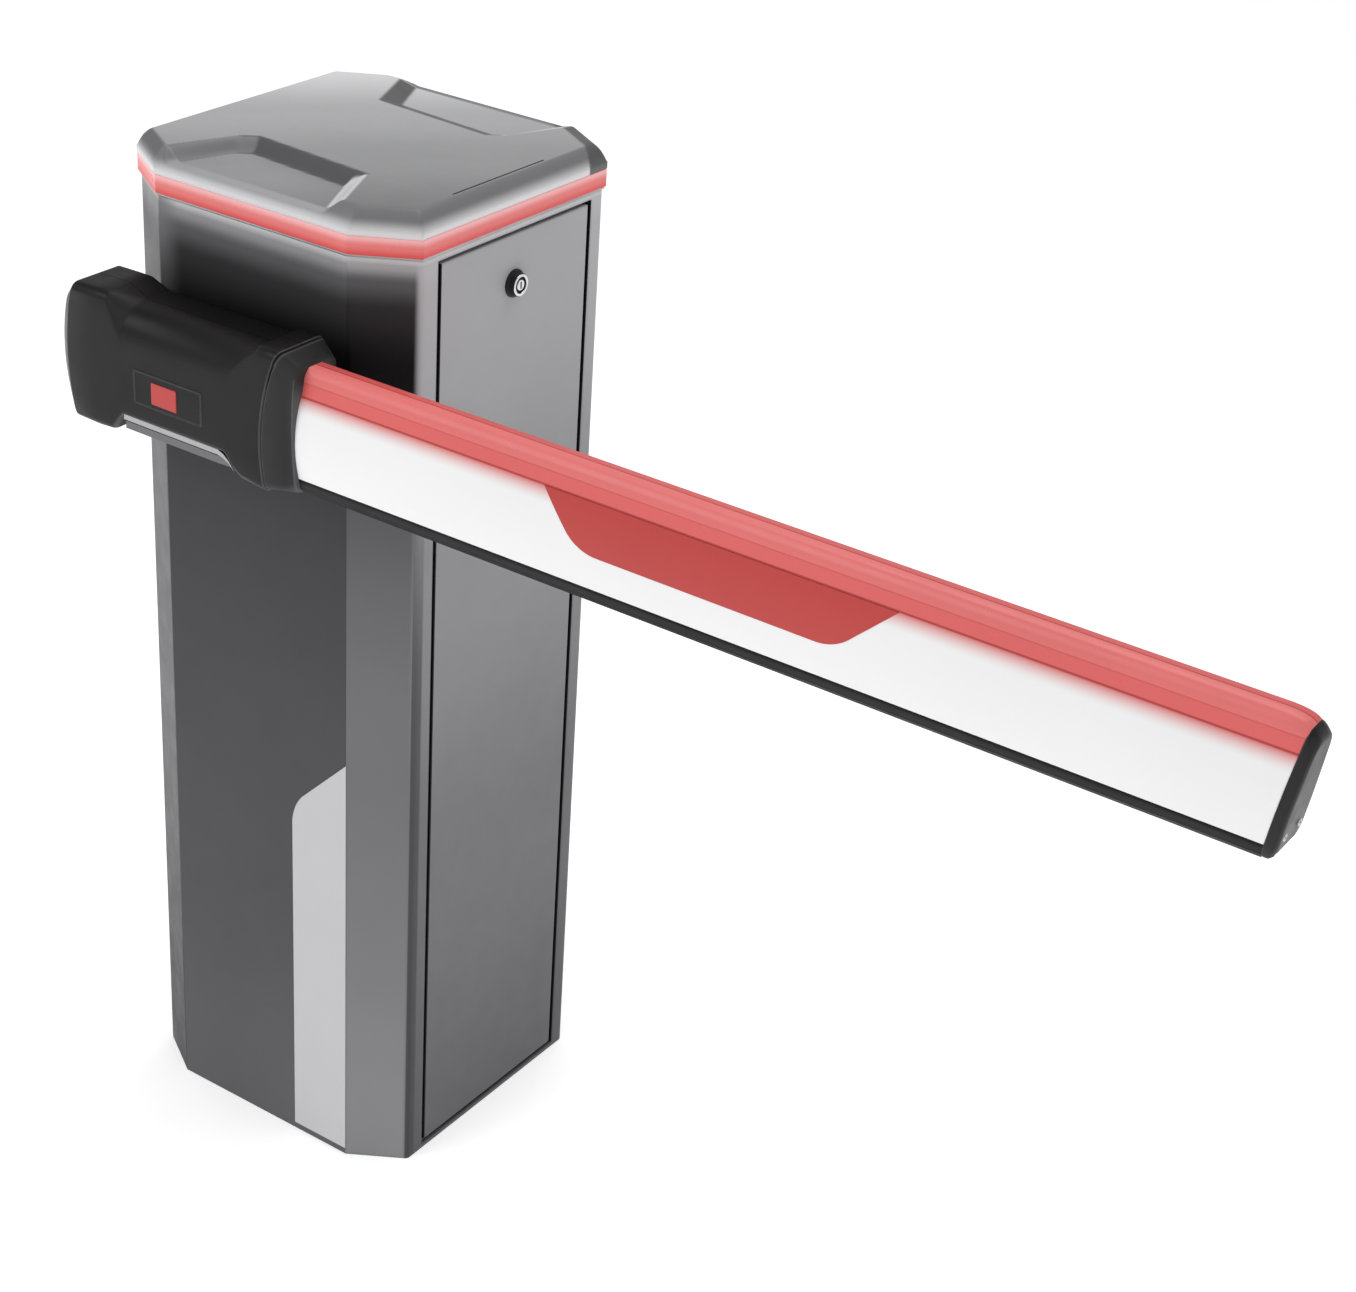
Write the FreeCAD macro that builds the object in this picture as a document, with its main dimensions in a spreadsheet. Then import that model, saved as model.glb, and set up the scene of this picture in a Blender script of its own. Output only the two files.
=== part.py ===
import FreeCAD, Part
import math
import os
import Sketcher

# Parking barrier gate: a floor-standing cabinet with a balanced, motor-driven arm.
# Millimetres. +Z is up, +X runs along the closed arm, the arm passes in front of the -Y face.
# The origin is the centre of the cabinet's footprint, on the ground.

doc = FreeCAD.newDocument("parking_barrier")
sheet = doc.addObject("Spreadsheet::Sheet", "Sizes")
pieces = []


# ---------------------------------------------------------------- driving sizes

class Size:
    """A length that carries both its value and the sheet formula that it comes from."""

    def __init__(self, value, text):
        self.value = float(value)
        self.text = text

    def join(self, other, sign, value, swap=False):
        theirs = other.text if isinstance(other, Size) else "(%.6g)" % other
        first, second = (theirs, self.text) if swap else (self.text, theirs)
        return Size(value, "(%s %s %s)" % (first, sign, second))

    def __add__(self, other):
        return self.join(other, "+", self.value + plain(other))

    def __radd__(self, other):
        return self.join(other, "+", plain(other) + self.value, swap=True)

    def __sub__(self, other):
        return self.join(other, "-", self.value - plain(other))

    def __rsub__(self, other):
        return self.join(other, "-", plain(other) - self.value, swap=True)

    def __mul__(self, other):
        return self.join(other, "*", self.value * plain(other))

    def __rmul__(self, other):
        return self.join(other, "*", plain(other) * self.value, swap=True)

    def __truediv__(self, other):
        return self.join(other, "/", self.value / plain(other))

    def __neg__(self):
        return self.join(-1, "*", -self.value)


def plain(size):
    """The number behind a Size, or a plain number as it is."""
    return size.value if isinstance(size, Size) else float(size)


def driving(alias, value):
    """Adds one row to the sheet: its name, its value and an alias for formulas."""
    row = driving.row = driving.row + 1
    sheet.set("A%d" % row, alias)
    sheet.set("B%d" % row, "%.6g" % value)
    sheet.setAlias("B%d" % row, alias)
    return Size(value, "Sizes." + alias)


driving.row = 0

# Cabinet
width = driving("cabinet_width", 350)
depth = driving("cabinet_depth", 350)
height = driving("cabinet_height", 1035)
corner_x = driving("corner_cut_x", 58)
corner_y = driving("corner_cut_y", 36)
wall = driving("sheet_wall", 3)
skin = driving("front_panel_skin", 1.2)
corner_round = driving("corner_round", 5)
rim = driving("top_flange", 18)
stripe_left = driving("front_stripe_left", 45)
stripe_low = driving("front_stripe_bottom", 8)
stripe_high = driving("front_stripe_top", 494)
film_thick = driving("film_thickness", 0.4)
base_thick = driving("base_plate_thickness", 8)
anchor_pitch = driving("anchor_pitch", 240)
anchor_r = driving("anchor_hole_radius", 7)
entry_x = driving("cable_entry_x", 100)
entry_y = driving("cable_entry_y", 80)
entry_cx = driving("cable_entry_centre_x", 40)
entry_cy = driving("cable_entry_centre_y", 30)

# Door in the +X face
door_front = driving("door_front_edge", -111)
door_rear = driving("door_rear_edge", 116)
door_low = driving("door_bottom", 10)
door_top = driving("door_top", 1024)
door_gap = driving("door_gap", 4)
door_skin = driving("door_skin", 2)
door_fold = driving("door_fold_depth", 20)
pivot_x = driving("door_pivot_x", 168)
pivot_z = driving("door_pivot_z", 16)
pivot_r = driving("door_pivot_radius", 4)
lock_z = driving("lock_height", 975)
lock_r = driving("lock_cup_radius", 14)
lock_proud = driving("lock_bezel_height", 8.5)
plug_r = driving("lock_plug_bore", 8)
thread_r = driving("lock_thread_radius", 10.8)

# Crown light and lid
lens_low = driving("crown_lens_bottom", 1037)
lens_top = driving("crown_lens_top", 1055)
lens_out = driving("crown_lens_overhang", 3)
lid_edge = driving("lid_edge_height", 7)
lid_top = driving("lid_top", 1080)
lid_bevel_x = driving("lid_bevel_x", 14)
lid_bevel_y = driving("lid_bevel_y", 17)
scoop_floor = driving("lid_scoop_floor", 1067)
far_scoop_floor = driving("lid_rear_scoop_floor", 1074.5)
post_x = driving("lid_post_x", 126)
post_y = driving("lid_post_y", 126)

# Arm
axis_x = driving("arm_axis_x", -25)
axis_z = driving("arm_axis_z", 890)
arm_y = driving("arm_mid_plane_y", -233)
arm_end = driving("arm_end_at_foot", 1080)
arm_lean = driving("arm_end_lean", 0.14)
arm_start = driving("arm_profile_start", 74)
arm_low = driving("arm_profile_bottom", 844)
arm_seam = driving("arm_lens_seam", 923)
arm_high = driving("arm_lens_top", 950)
arm_wall = driving("arm_wall", 3)
seam_half = driving("arm_seam_half_depth", 18)
foot_half = driving("arm_foot_half_depth", 23)
face_bow = driving("arm_face_bow_radius", 198)
bumper_low = driving("arm_bumper_bottom", 829)
cap_thick = driving("arm_end_cap_thickness", 11)
cap_proud = driving("arm_end_cap_proud", 0.8)
port_y = driving("arm_screw_port_y", 14)
port_z = driving("arm_screw_port_z", 851)
port_r = driving("arm_screw_port_radius", 5)
cap_screw_r = driving("arm_end_cap_screw_radius", 2)
cap_sink_r = driving("arm_end_cap_sink_radius", 4.4)
decal_start = driving("arm_decal_start", 400)
decal_end = driving("arm_decal_end", 760)
decal_low = driving("arm_decal_bottom", 875)

# Arm hub
hub_left = driving("hub_left_end", -165)
hub_right = driving("hub_right_end", 98)
collar_end = driving("hub_collar_end", 125)
hub_front = driving("hub_front_face", -264)
hub_back = driving("hub_back_face", -198)
hub_top = driving("hub_top", 966)
hub_low = driving("hub_bottom", 820)
waist_top = driving("hub_waist_top", 956)
waist_low = driving("hub_waist_bottom", 843)
hub_wall = driving("hub_wall", 5)
badge_left = driving("badge_left", -67)
badge_right = driving("badge_right", 20)
badge_low = driving("badge_bottom", 865)
badge_high = driving("badge_top", 900)

# Drive
shaft_r = driving("shaft_radius", 20)
shaft_rear = driving("shaft_rear_end", 88)
frame_thick = driving("drive_frame_plate", 6)
frame_rear = driving("drive_frame_rear_plate_y", 58)
frame_low = driving("drive_frame_bottom", 618)
frame_high = driving("drive_frame_top", 980)
lever_thick = driving("lever_thickness", 12)
spring_arm = driving("spring_lever_length", 70)
crank_arm = driving("crank_length", 60)
gear_x = driving("gear_axis_x", 55)
gear_z = driving("gear_axis_z", 700)
pin_r = driving("lever_pin_radius", 7)
run_fit = driving("running_clearance", 0.05)
spring_y = driving("spring_plane_y", -60)
crank_y = driving("crank_plane_y", 20)
spring_top = driving("spring_top_z", 780)
spring_foot = driving("spring_bottom_z", 300)
spring_mean_r = driving("spring_mean_radius", 20)
spring_wire_r = driving("spring_wire_radius", 3)
spring_turns = driving("spring_turns", 30)

SPRING_ANGLE = 135.0    # direction of the spring lever with the arm down, from +X towards +Z
CRANK_ANGLE = 157.8     # direction of both crank levers with the arm down

doc.recompute()


# ---------------------------------------------------------------- sketches and solids

# Each plane's local axes: (role, world normal sign). XY: x, y up +Z; YZ: y, z up +X; XZ: x, z up -Y.
NORMAL_SIGN = {"XY": 1, "YZ": 1, "XZ": -1}


def rect(left, right, low, high):
    return ("path", [(left, low), (right, low), (right, high), (left, high)])


def path(*points):
    """A closed outline. A point with a third value is reached by an arc of that radius."""
    return ("path", list(points))


def ring(x, y, radius):
    return ("circle", (x, y, radius))


def mirrored(points, middle):
    """The points and their mirror images about x = middle, as one closed outline."""
    images = [(2 * middle - p[0], p[1]) for p in reversed(points)]
    return list(points) + images


def octagon(half_x, half_y, cut_x, cut_y):
    """A rectangle about the origin with its four corners cut."""
    return path((-half_x + cut_x, -half_y), (half_x - cut_x, -half_y),
                (half_x, -half_y + cut_y), (half_x, half_y - cut_y),
                (half_x - cut_x, half_y), (-half_x + cut_x, half_y),
                (-half_x, half_y - cut_y), (-half_x, -half_y + cut_y))


def cabinet_outline(grow=0.0):
    """The cabinet's plan, moved outwards by a distance on every side."""
    return octagon(width / 2 + grow, depth / 2 + grow, corner_x + grow * 0.75, corner_y + grow * 0.55)


def arc_between(start, end, radius):
    """The short arc of a radius between two points, and whether it runs anticlockwise.

    A positive radius bulges to the right of the way from start to end, and so runs anticlockwise."""
    chord = end - start
    half = chord.Length / 2
    left = FreeCAD.Vector(-chord.y, chord.x, 0).normalize()
    reach = math.sqrt(radius * radius - half * half)
    centre = (start + end) * 0.5 + left * (reach if radius > 0 else -reach)
    circle = Part.Circle(centre, FreeCAD.Vector(0, 0, 1), abs(radius))
    first, last = (start, end) if radius > 0 else (end, start)
    return Part.ArcOfCircle(circle, circle.parameter(first), circle.parameter(last)), radius > 0


def pin_distance(sketch, kind, index, spot, size):
    """Fixes one coordinate of a sketch point, by formula where it comes from the sheet."""
    number = sketch.addConstraint(Sketcher.Constraint(kind, -1, 1, index, spot, plain(size)))
    if isinstance(size, Size):
        sketch.setExpression("Constraints[%d]" % number, size.text)


def draw_circle(sketch, x, y, radius):
    centre = FreeCAD.Vector(plain(x), plain(y), 0)
    circle = Part.Circle(centre, FreeCAD.Vector(0, 0, 1), plain(radius))
    index = sketch.addGeometry(circle)
    pin_distance(sketch, "DistanceX", index, 3, x)
    pin_distance(sketch, "DistanceY", index, 3, y)
    number = sketch.addConstraint(Sketcher.Constraint("Radius", index, plain(radius)))
    if isinstance(radius, Size):
        sketch.setExpression("Constraints[%d]" % number, radius.text)


def draw_path(sketch, points):
    corners = [FreeCAD.Vector(plain(p[0]), plain(p[1]), 0) for p in points]
    ends = []
    for place, point in enumerate(points):
        start = corners[place - 1]
        end = corners[place]
        bow = point[2] if len(point) > 2 else None
        if bow is None:
            index = sketch.addGeometry(Part.LineSegment(start, end))
            ends.append((index, 1, 2))
            continue
        arc, forward = arc_between(start, end, plain(bow))
        index = sketch.addGeometry(arc)
        ends.append((index, 1, 2) if forward else (index, 2, 1))
        number = sketch.addConstraint(Sketcher.Constraint("Radius", index, abs(plain(bow))))
        if isinstance(bow, Size):
            sketch.setExpression("Constraints[%d]" % number, (bow if bow.value > 0 else -bow).text)
    for place, point in enumerate(points):
        index, _, finish = ends[place]
        following = ends[(place + 1) % len(ends)]
        sketch.addConstraint(Sketcher.Constraint("Coincident", index, finish, following[0], following[1]))
        pin_distance(sketch, "DistanceX", index, finish, point[0])
        pin_distance(sketch, "DistanceY", index, finish, point[1])


class Piece:
    """One sub-part: a PartDesign body made of prisms, lofts, cuts and rounded edges."""

    def __init__(self, node):
        self.body = doc.addObject("PartDesign::Body", node)
        self.body.Label = node
        self.body.AllowCompound = True
        self.planes = {o.Role[:2]: o for o in self.body.Origin.OriginFeatures if "Plane" in o.Role}
        self.count = 0
        pieces.append(self.body)

    def name(self, word):
        self.count += 1
        return "%s_%s_%d" % (self.body.Name, word, self.count)

    def sketch(self, plane, at, outlines):
        sketch = self.body.newObject("Sketcher::SketchObject", self.name("sketch"))
        sketch.AttachmentSupport = [(self.planes[plane], "")]
        sketch.MapMode = "FlatFace"
        offset = NORMAL_SIGN[plane] * at
        sketch.AttachmentOffset = FreeCAD.Placement(FreeCAD.Vector(0, 0, plain(offset)), FreeCAD.Rotation())
        if isinstance(offset, Size):
            sketch.setExpression("AttachmentOffset.Base.z", offset.text)
        for kind, data in outlines:
            if kind == "circle":
                draw_circle(sketch, *data)
            else:
                draw_path(sketch, data)
        return sketch

    def feature(self, kind, plane, start, length, outlines):
        profile = self.sketch(plane, start, outlines)
        feature = self.body.newObject("PartDesign::" + kind, self.name(kind.lower()))
        feature.Profile = profile
        feature.Length = plain(length)
        if isinstance(length, Size):
            feature.setExpression("Length", length.text)
        doc.recompute()
        return feature

    def add(self, plane, low, high, *outlines):
        """Adds a prism between two heights on the plane's axis."""
        start = low if NORMAL_SIGN[plane] > 0 else high
        self.feature("Pad", plane, start, high - low, outlines)
        return self

    def cut(self, plane, low, high, *outlines):
        """Cuts a prism between two heights, and checks that it did cut."""
        before = self.body.Shape.Volume
        start = high if NORMAL_SIGN[plane] > 0 else low
        self.feature("Pocket", plane, start, high - low, outlines)
        if self.body.Shape.Volume > before - 1e-3:
            raise ValueError("a cut in %s removes nothing" % self.body.Label)
        return self

    def loft(self, plane, sections, subtract=False):
        """Joins outlines at several heights by flat or ruled faces."""
        sketches = [self.sketch(plane, at, [outline]) for at, outline in sections]
        kind = "SubtractiveLoft" if subtract else "AdditiveLoft"
        feature = self.body.newObject("PartDesign::" + kind, self.name(kind.lower()))
        feature.Profile = sketches[0]
        feature.Sections = sketches[1:]
        feature.Ruled = True
        doc.recompute()
        return self

    def dress(self, kind, size, chosen):
        """Rounds or bevels the edges that a test chooses."""
        tip = self.body.Tip
        names = ["Edge%d" % (i + 1) for i, edge in enumerate(tip.Shape.Edges) if chosen(edge)]
        if not names:
            raise ValueError("no edge chosen in %s" % self.body.Label)
        feature = self.body.newObject("PartDesign::" + kind, self.name(kind.lower()))
        feature.Base = (tip, names)
        prop = "Radius" if kind == "Fillet" else "Size"
        setattr(feature, prop, plain(size))
        doc.recompute()
        return self


def along_y(longer):
    """An edge test: straight, parallel to Y and longer than a length."""
    direction = FreeCAD.Vector(0, 1, 0)

    def test(edge):
        if edge.Curve.TypeId != "Part::GeomLine" or edge.Length < longer:
            return False
        return abs(abs(edge.tangentAt(edge.FirstParameter).dot(direction)) - 1) < 1e-6
    return test


def screws(node, radius, length, head_r, head_length, seats, inwards):
    """Identical hexagon or pan screws in one node: each a head on its seat and a shank behind it."""
    solids = []
    for seat in seats:
        spot = FreeCAD.Vector(*[plain(c) for c in seat])
        way = FreeCAD.Vector(*inwards)
        shank = Part.makeCylinder(radius, length, spot, way)
        head = Part.makeCylinder(head_r, head_length, spot, -way)
        socket = Part.makeCylinder(head_r * 0.5, head_length * 0.6, spot - way * head_length, way)
        solids.append(shank.fuse(head).cut(socket).removeSplitter())
    return shaped(node, Part.makeCompound(solids))


def shaped(node, shape):
    """A sub-part whose shape comes from Part's own functions."""
    feature = doc.addObject("Part::Feature", node)
    feature.Label = node
    feature.Shape = shape
    pieces.append(feature)
    return feature


# ---------------------------------------------------------------- cabinet

inner_x = width / 2 - wall
inner_y = depth / 2 - wall
front_face = -(depth / 2)
flat_x = width / 2 - corner_x
shaft_hole_r = shaft_r + 6


def cabinet_shell():
    """Folded sheet cabinet: eight sides, door opening, inward top flange, seat for the front panel."""
    shell = Piece("cabinet_shell")
    shell.add("XY", 0, height, cabinet_outline())
    shell.cut("XY", -1, height - wall, cabinet_outline(-wall))
    shell.cut("XY", height - wall - 1, height + 1, cabinet_outline(-rim))
    shell.cut("XZ", front_face - 1, front_face + skin, rect(-flat_x, flat_x, -1, height + 1))
    opening = rect(door_front - door_gap, door_rear + door_gap, door_low - door_gap, door_top + door_gap)
    shell.cut("YZ", inner_x - 1, width / 2 + 1, opening)
    shell.cut("XZ", front_face - 1, front_face + wall + 1, ring(axis_x, axis_z, shaft_hole_r))
    shell.dress("Fillet", corner_round, is_side_corner)


def is_side_corner(edge):
    """A tall upright edge at the cabinet's outer side corners."""
    spot = edge.CenterOfMass
    on_side = abs(spot.x) > plain(width) / 2 - 0.1
    on_corner = abs(abs(spot.y) - plain(depth) / 2 + plain(corner_y)) < 1
    return edge.BoundBox.ZLength > 500 and on_side and on_corner


def front_panel():
    panel = Piece("front_panel")
    panel.add("XZ", front_face, front_face + skin, rect(-flat_x, flat_x, 0.5, height - 1))
    panel.cut("XZ", front_face - 1, front_face + skin + 1, ring(axis_x, axis_z, shaft_hole_r))


def front_stripe():
    """Light film strip low on the front, its top cut back to one side in a soft shoulder."""
    stripe = Piece("front_stripe")
    outline = path((stripe_left, stripe_low), (flat_x, stripe_low), (flat_x, stripe_high),
                   (stripe_left + 13, stripe_high - 60), (stripe_left, stripe_high - 94, 60))
    stripe.add("XZ", front_face - film_thick, front_face, outline)


def base_plate():
    """Floor plate welded inside the shell: four anchor holes, a cable entry and clamp bars."""
    plate = Piece("base_plate")
    plate.add("XY", 0, base_thick, cabinet_outline(-wall))
    holes = [ring(sx * anchor_pitch / 2, sy * anchor_pitch / 2, anchor_r) for sx in (-1, 1) for sy in (-1, 1)]
    plate.cut("XY", -1, base_thick + 1, *holes)
    plate.cut("XY", -1, base_thick + 1, entry_outline(0))
    door_pivots(plate)


def entry_outline(grow):
    """The cable entry's rectangle, moved outwards by a distance."""
    half_x = entry_x / 2 + grow
    half_y = entry_y / 2 + grow
    return rect(entry_cx - half_x, entry_cx + half_x, entry_cy - half_y, entry_cy + half_y)


def entry_seal():
    """Split rubber frame round the cable entry, on the plate's upper face."""
    seal = Piece("cable_entry_seal")
    seal.add("XY", base_thick, base_thick + 4, entry_outline(10))
    seal.cut("XY", base_thick - 1, base_thick + 5, entry_outline(-4))


# ---------------------------------------------------------------- door and lock

door_out = width / 2
door_in = door_out - door_fold
jamb_back = door_in - 6
jamb_front_y = door_front - 7
jamb_rear_y = door_rear + 7
jamb_low = 22
jamb_high = height - wall - 1
sight_front = door_front + 12
sight_rear = door_rear - 12
sight_low = 36
sight_high = 1000


def door_jamb():
    """Folded frame behind the opening: it carries the seal, and its top bar keeps the lock cam."""
    jamb = Piece("door_jamb")
    sight = rect(sight_front, sight_rear, sight_low, sight_high)
    outside = rect(jamb_front_y, jamb_rear_y, jamb_low, jamb_high)
    inside = rect(jamb_front_y + 1.5, jamb_rear_y - 1.5, jamb_low + 1.5, jamb_high - 1.5)
    room_below = rect(jamb_front_y + 2, jamb_rear_y - 2, jamb_low - 1, jamb_low + 20)
    jamb.add("YZ", jamb_back, jamb_back + 2, outside, sight)
    jamb.add("YZ", jamb_back, inner_x, outside, inside)
    jamb.cut("YZ", jamb_back + 2, inner_x + 1, room_below)


def door_seal():
    seal = Piece("door_seal")
    outer = rect(door_front - 3, door_rear + 3, 24, door_top + 2)
    inner = rect(door_front + 6, door_rear - 6, 33, door_top - 6)
    seal.add("YZ", jamb_back + 2, door_in - 0.4, outer, inner)


def door_panel():
    """Sheet door with edges folded in, hung on two open hooks at its foot."""
    door = Piece("door_panel")
    door.add("YZ", door_out - door_skin, door_out, rect(door_front, door_rear, door_low, door_top))
    fold_low = 27
    outer = rect(door_front, door_rear, fold_low, door_top)
    inner = rect(door_front + door_skin, door_rear - door_skin, fold_low + door_skin, door_top - door_skin)
    door.add("YZ", door_in, door_out - door_skin, outer, inner)
    hook = rect(pivot_x - 10, door_out - door_skin, door_low + 1, fold_low + 1)
    for side in (door_front + 20, door_rear - 24):
        door.add("XZ", side, side + door_skin * 2, hook)
    slot_r = pivot_r + run_fit * 2
    slot = path((pivot_x - slot_r, 5), (pivot_x + slot_r, 5), (pivot_x + slot_r, pivot_z),
                (pivot_x - slot_r, pivot_z, slot_r * 1.0001))
    door.cut("XZ", door_front + 19, door_rear - 19, slot)
    door.cut("YZ", door_in, door_out + 1, ring(0, lock_z, lock_r - 3))
    door.dress("Fillet", 1.2, lambda e: e.CenterOfMass.x > plain(door_out) - 0.01 and e.Length > 100)


def door_stiffeners():
    """Two hat-section bars spot-welded inside the door skin."""
    bars = Piece("door_stiffeners")
    middles = (-60, 70)
    skin_back = door_out - door_skin
    bars.add("YZ", skin_back - 12, skin_back, *[rect(y - 15, y + 15, 60, 960) for y in middles])
    bars.cut("YZ", skin_back - 10.5, skin_back + 1, *[rect(y - 13.5, y + 13.5, 59, 961) for y in middles])


def door_pivots(plate):
    """Two lugs welded on the floor plate, each with the round pin that a door hook drops over."""
    lug_outline = rect(pivot_x - 12, pivot_x + 1.5, base_thick, pivot_z + pivot_r)
    for lug, pin_low in ((door_front + 28, door_front + 16), (door_rear - 32, door_rear - 32)):
        plate.add("XZ", lug, lug + 4, lug_outline)
        plate.add("XZ", pin_low, pin_low + 16, ring(pivot_x, pivot_z, pivot_r))


def lock_parts():
    """Cam lock: a raised bezel through the skin, a turning cylinder, its nut and its cam."""
    face = door_out
    bezel_front = face + lock_proud
    plug_back = face - 24
    square = rect(-4, 4, lock_z - 4, lock_z + 4)
    bezel = Piece("lock_bezel")
    bezel.add("YZ", face, face + 2.5, ring(0, lock_z, lock_r))
    bezel.add("YZ", face, bezel_front, ring(0, lock_z, lock_r - 2.5))
    bezel.add("YZ", face - 18, face, ring(0, lock_z, thread_r))
    bezel.cut("YZ", face - 19, bezel_front + 1, ring(0, lock_z, plug_r))
    bezel.dress("Fillet", 1.2, lambda e: e.CenterOfMass.x > plain(bezel_front) - 0.1 and e.Length > 60)

    nut = Piece("lock_nut")
    nut.add("YZ", face - 8, face - door_skin, hexagon(0, lock_z, lock_r + 1), ring(0, lock_z, thread_r))

    plug = Piece("lock_cylinder")
    plug.add("YZ", plug_back, bezel_front - 1, ring(0, lock_z, plug_r - run_fit * 2))
    plug.cut("YZ", face - 4, bezel_front, rect(-1.3, 1.3, lock_z - 5, lock_z + 5))
    plug.add("YZ", plug_back - 9, plug_back, square)

    cam = Piece("lock_cam")
    cam.add("YZ", plug_back - 8, plug_back - 5, rect(-40, 9, lock_z - 8, lock_z + 8), square)
    cam.dress("Fillet", 3, lambda e: e.Length < 3.1 and abs(e.CenterOfMass.y) > 8)


def hexagon(x, y, radius):
    steps = [math.radians(60 * k) for k in range(6)]
    return path(*[(x + radius * math.cos(a), y + radius * math.sin(a)) for a in steps])


# ---------------------------------------------------------------- crown light and lid

def crown():
    """Translucent ring right round the head, its light strip, and the tray that carries both."""
    tray = Piece("crown_tray")
    tray.add("XY", height, lens_low, cabinet_outline(1.5))
    tray.add("XY", lens_low, lens_top - 1, cabinet_outline(-24))
    tray.cut("XY", height - 1, lens_top, cabinet_outline(-27))

    strip = Piece("crown_light_strip")
    strip.add("XY", lens_low + 3, lens_top - 4, cabinet_outline(-21.5))
    strip.cut("XY", lens_low, lens_top, cabinet_outline(-24))

    lens = Piece("crown_lens")
    lens.add("XY", lens_low, lens_top, cabinet_outline(lens_out))
    lens.cut("XY", lens_low - 1, lens_top + 1, cabinet_outline(lens_out - 3.5))
    lens.dress("Fillet", 1.2, lambda e: abs(e.CenterOfMass.x) > plain(width) / 2 + 2 and e.Length > 60
               or abs(e.CenterOfMass.y) > plain(depth) / 2 + 2 and e.Length > 60)


def lid_plan(inset_x, inset_y):
    return octagon(width / 2 + 2 - inset_x, depth / 2 + 2 - inset_y,
                   corner_x - inset_x * 0.3, corner_y - inset_y * 0.1)


def turned(points):
    """The outline turned half a turn about the lid's centre."""
    return [(-x, -y) for x, y in points]


def lid():
    """Pressed lid: bevelled rim, flat top, two scooped hand-holds opposite each other, hollow below."""
    cover = Piece("lid")
    cover.add("XY", lens_top, lens_top + lid_edge, lid_plan(0, 0))
    shoulder = lens_top + lid_edge + 11
    room_top = scoop_floor - 4
    slit_x = width / 2 - 13.6
    cover.loft("XY", [(lens_top + lid_edge, lid_plan(0, 0)), (shoulder, lid_plan(5, 6))])
    cover.loft("XY", [(shoulder, lid_plan(5, 6)), (lid_top, lid_plan(lid_bevel_x, lid_bevel_y))])
    cover.cut("XY", lens_top - 1, room_top, cabinet_outline(-12))
    brow = [(-124, -172), (-90, -89), (-75, -77), (71, -89), (108, -172)]
    floor = [(-104, -172), (-82, -107), (-68, -97), (52, -107), (84, -172)]
    cover.loft("XY", [(lid_top + 1, path(*brow)), (scoop_floor, path(*floor))], subtract=True)
    cover.loft("XY", [(lid_top + 1, path(*turned(brow))), (far_scoop_floor, path(*turned(floor)))], subtract=True)
    cover.cut("XY", lid_top - 3, lid_top + 1, rect(slit_x, slit_x + 1.5, -80, 57))
    lid_posts(cover)

    gasket = Piece("lid_gasket")
    gasket.add("XY", lens_top - 1, lens_top, cabinet_outline(-13))
    gasket.cut("XY", lens_top - 2, lens_top + 1, cabinet_outline(-26))


def lid_posts(cover):
    """Four posts moulded under the lid, drilled for screws that enter from inside the cabinet."""
    spots = [(sx * post_x, sy * post_y) for sx in (-1, 1) for sy in (-1, 1)]
    cover.add("XY", height + 4, scoop_floor - 4, *[ring(x, y, 7) for x, y in spots])
    cover.cut("XY", height + 3, scoop_floor - 10, *[ring(x, y, 2.5) for x, y in spots])


# ---------------------------------------------------------------- arm

arm_low_left = arm_y - foot_half
arm_seam_left = arm_y - seam_half
port_spots = [(arm_y - port_y, port_z), (arm_y + port_y, port_z)]
tip_spare = 30    # how far a piece of the arm is drawn past its end before the end is cut


def bowed(inset, low, high):
    """The arm's section between two heights, its sides bowed, moved in by a wall thickness."""
    foot = foot_half - inset
    seam = seam_half - inset
    return path((arm_y - foot, low, face_bow), (arm_y + foot, low), (arm_y + seam, high, face_bow),
                (arm_y - seam, high))


def arm_tip(offset, side):
    """Region past the arm's leaning end (side 1), or short of it (side -1), the end moved out by an offset."""
    margin = 20
    reach = 60
    low = bumper_low - margin
    high = arm_high + margin
    foot = arm_end + offset - arm_lean * margin
    head = arm_end + offset + arm_lean * (high - bumper_low)
    if side > 0:
        return path((foot, low), (head + reach, low), (head + reach, high), (head, high))
    return path((foot - reach, low), (foot, low), (head, high), (foot - reach, high))


def cut_tip(piece, offset, side=1):
    """Cuts a piece of the arm to its leaning end."""
    piece.cut("XZ", arm_y - 40, arm_y + 40, arm_tip(offset, side))


def arm_profile():
    """Extruded aluminium arm with bowed faces, hollow, open to the clamp spigot at the hub."""
    long_end = arm_end + tip_spare
    port_start = arm_end - 30
    beam = Piece("arm_profile")
    beam.add("YZ", arm_start, long_end, bowed(0, arm_low, arm_seam))
    beam.cut("YZ", arm_start - 1, long_end + 1, bowed(arm_wall, arm_low + arm_wall, arm_seam - arm_wall))
    beam.add("YZ", port_start, long_end, *[ring(y, z, port_r) for y, z in port_spots])
    beam.cut("YZ", port_start - 1, long_end + 1, *[ring(y, z, cap_screw_r) for y, z in port_spots])
    cut_tip(beam, 0)


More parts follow.
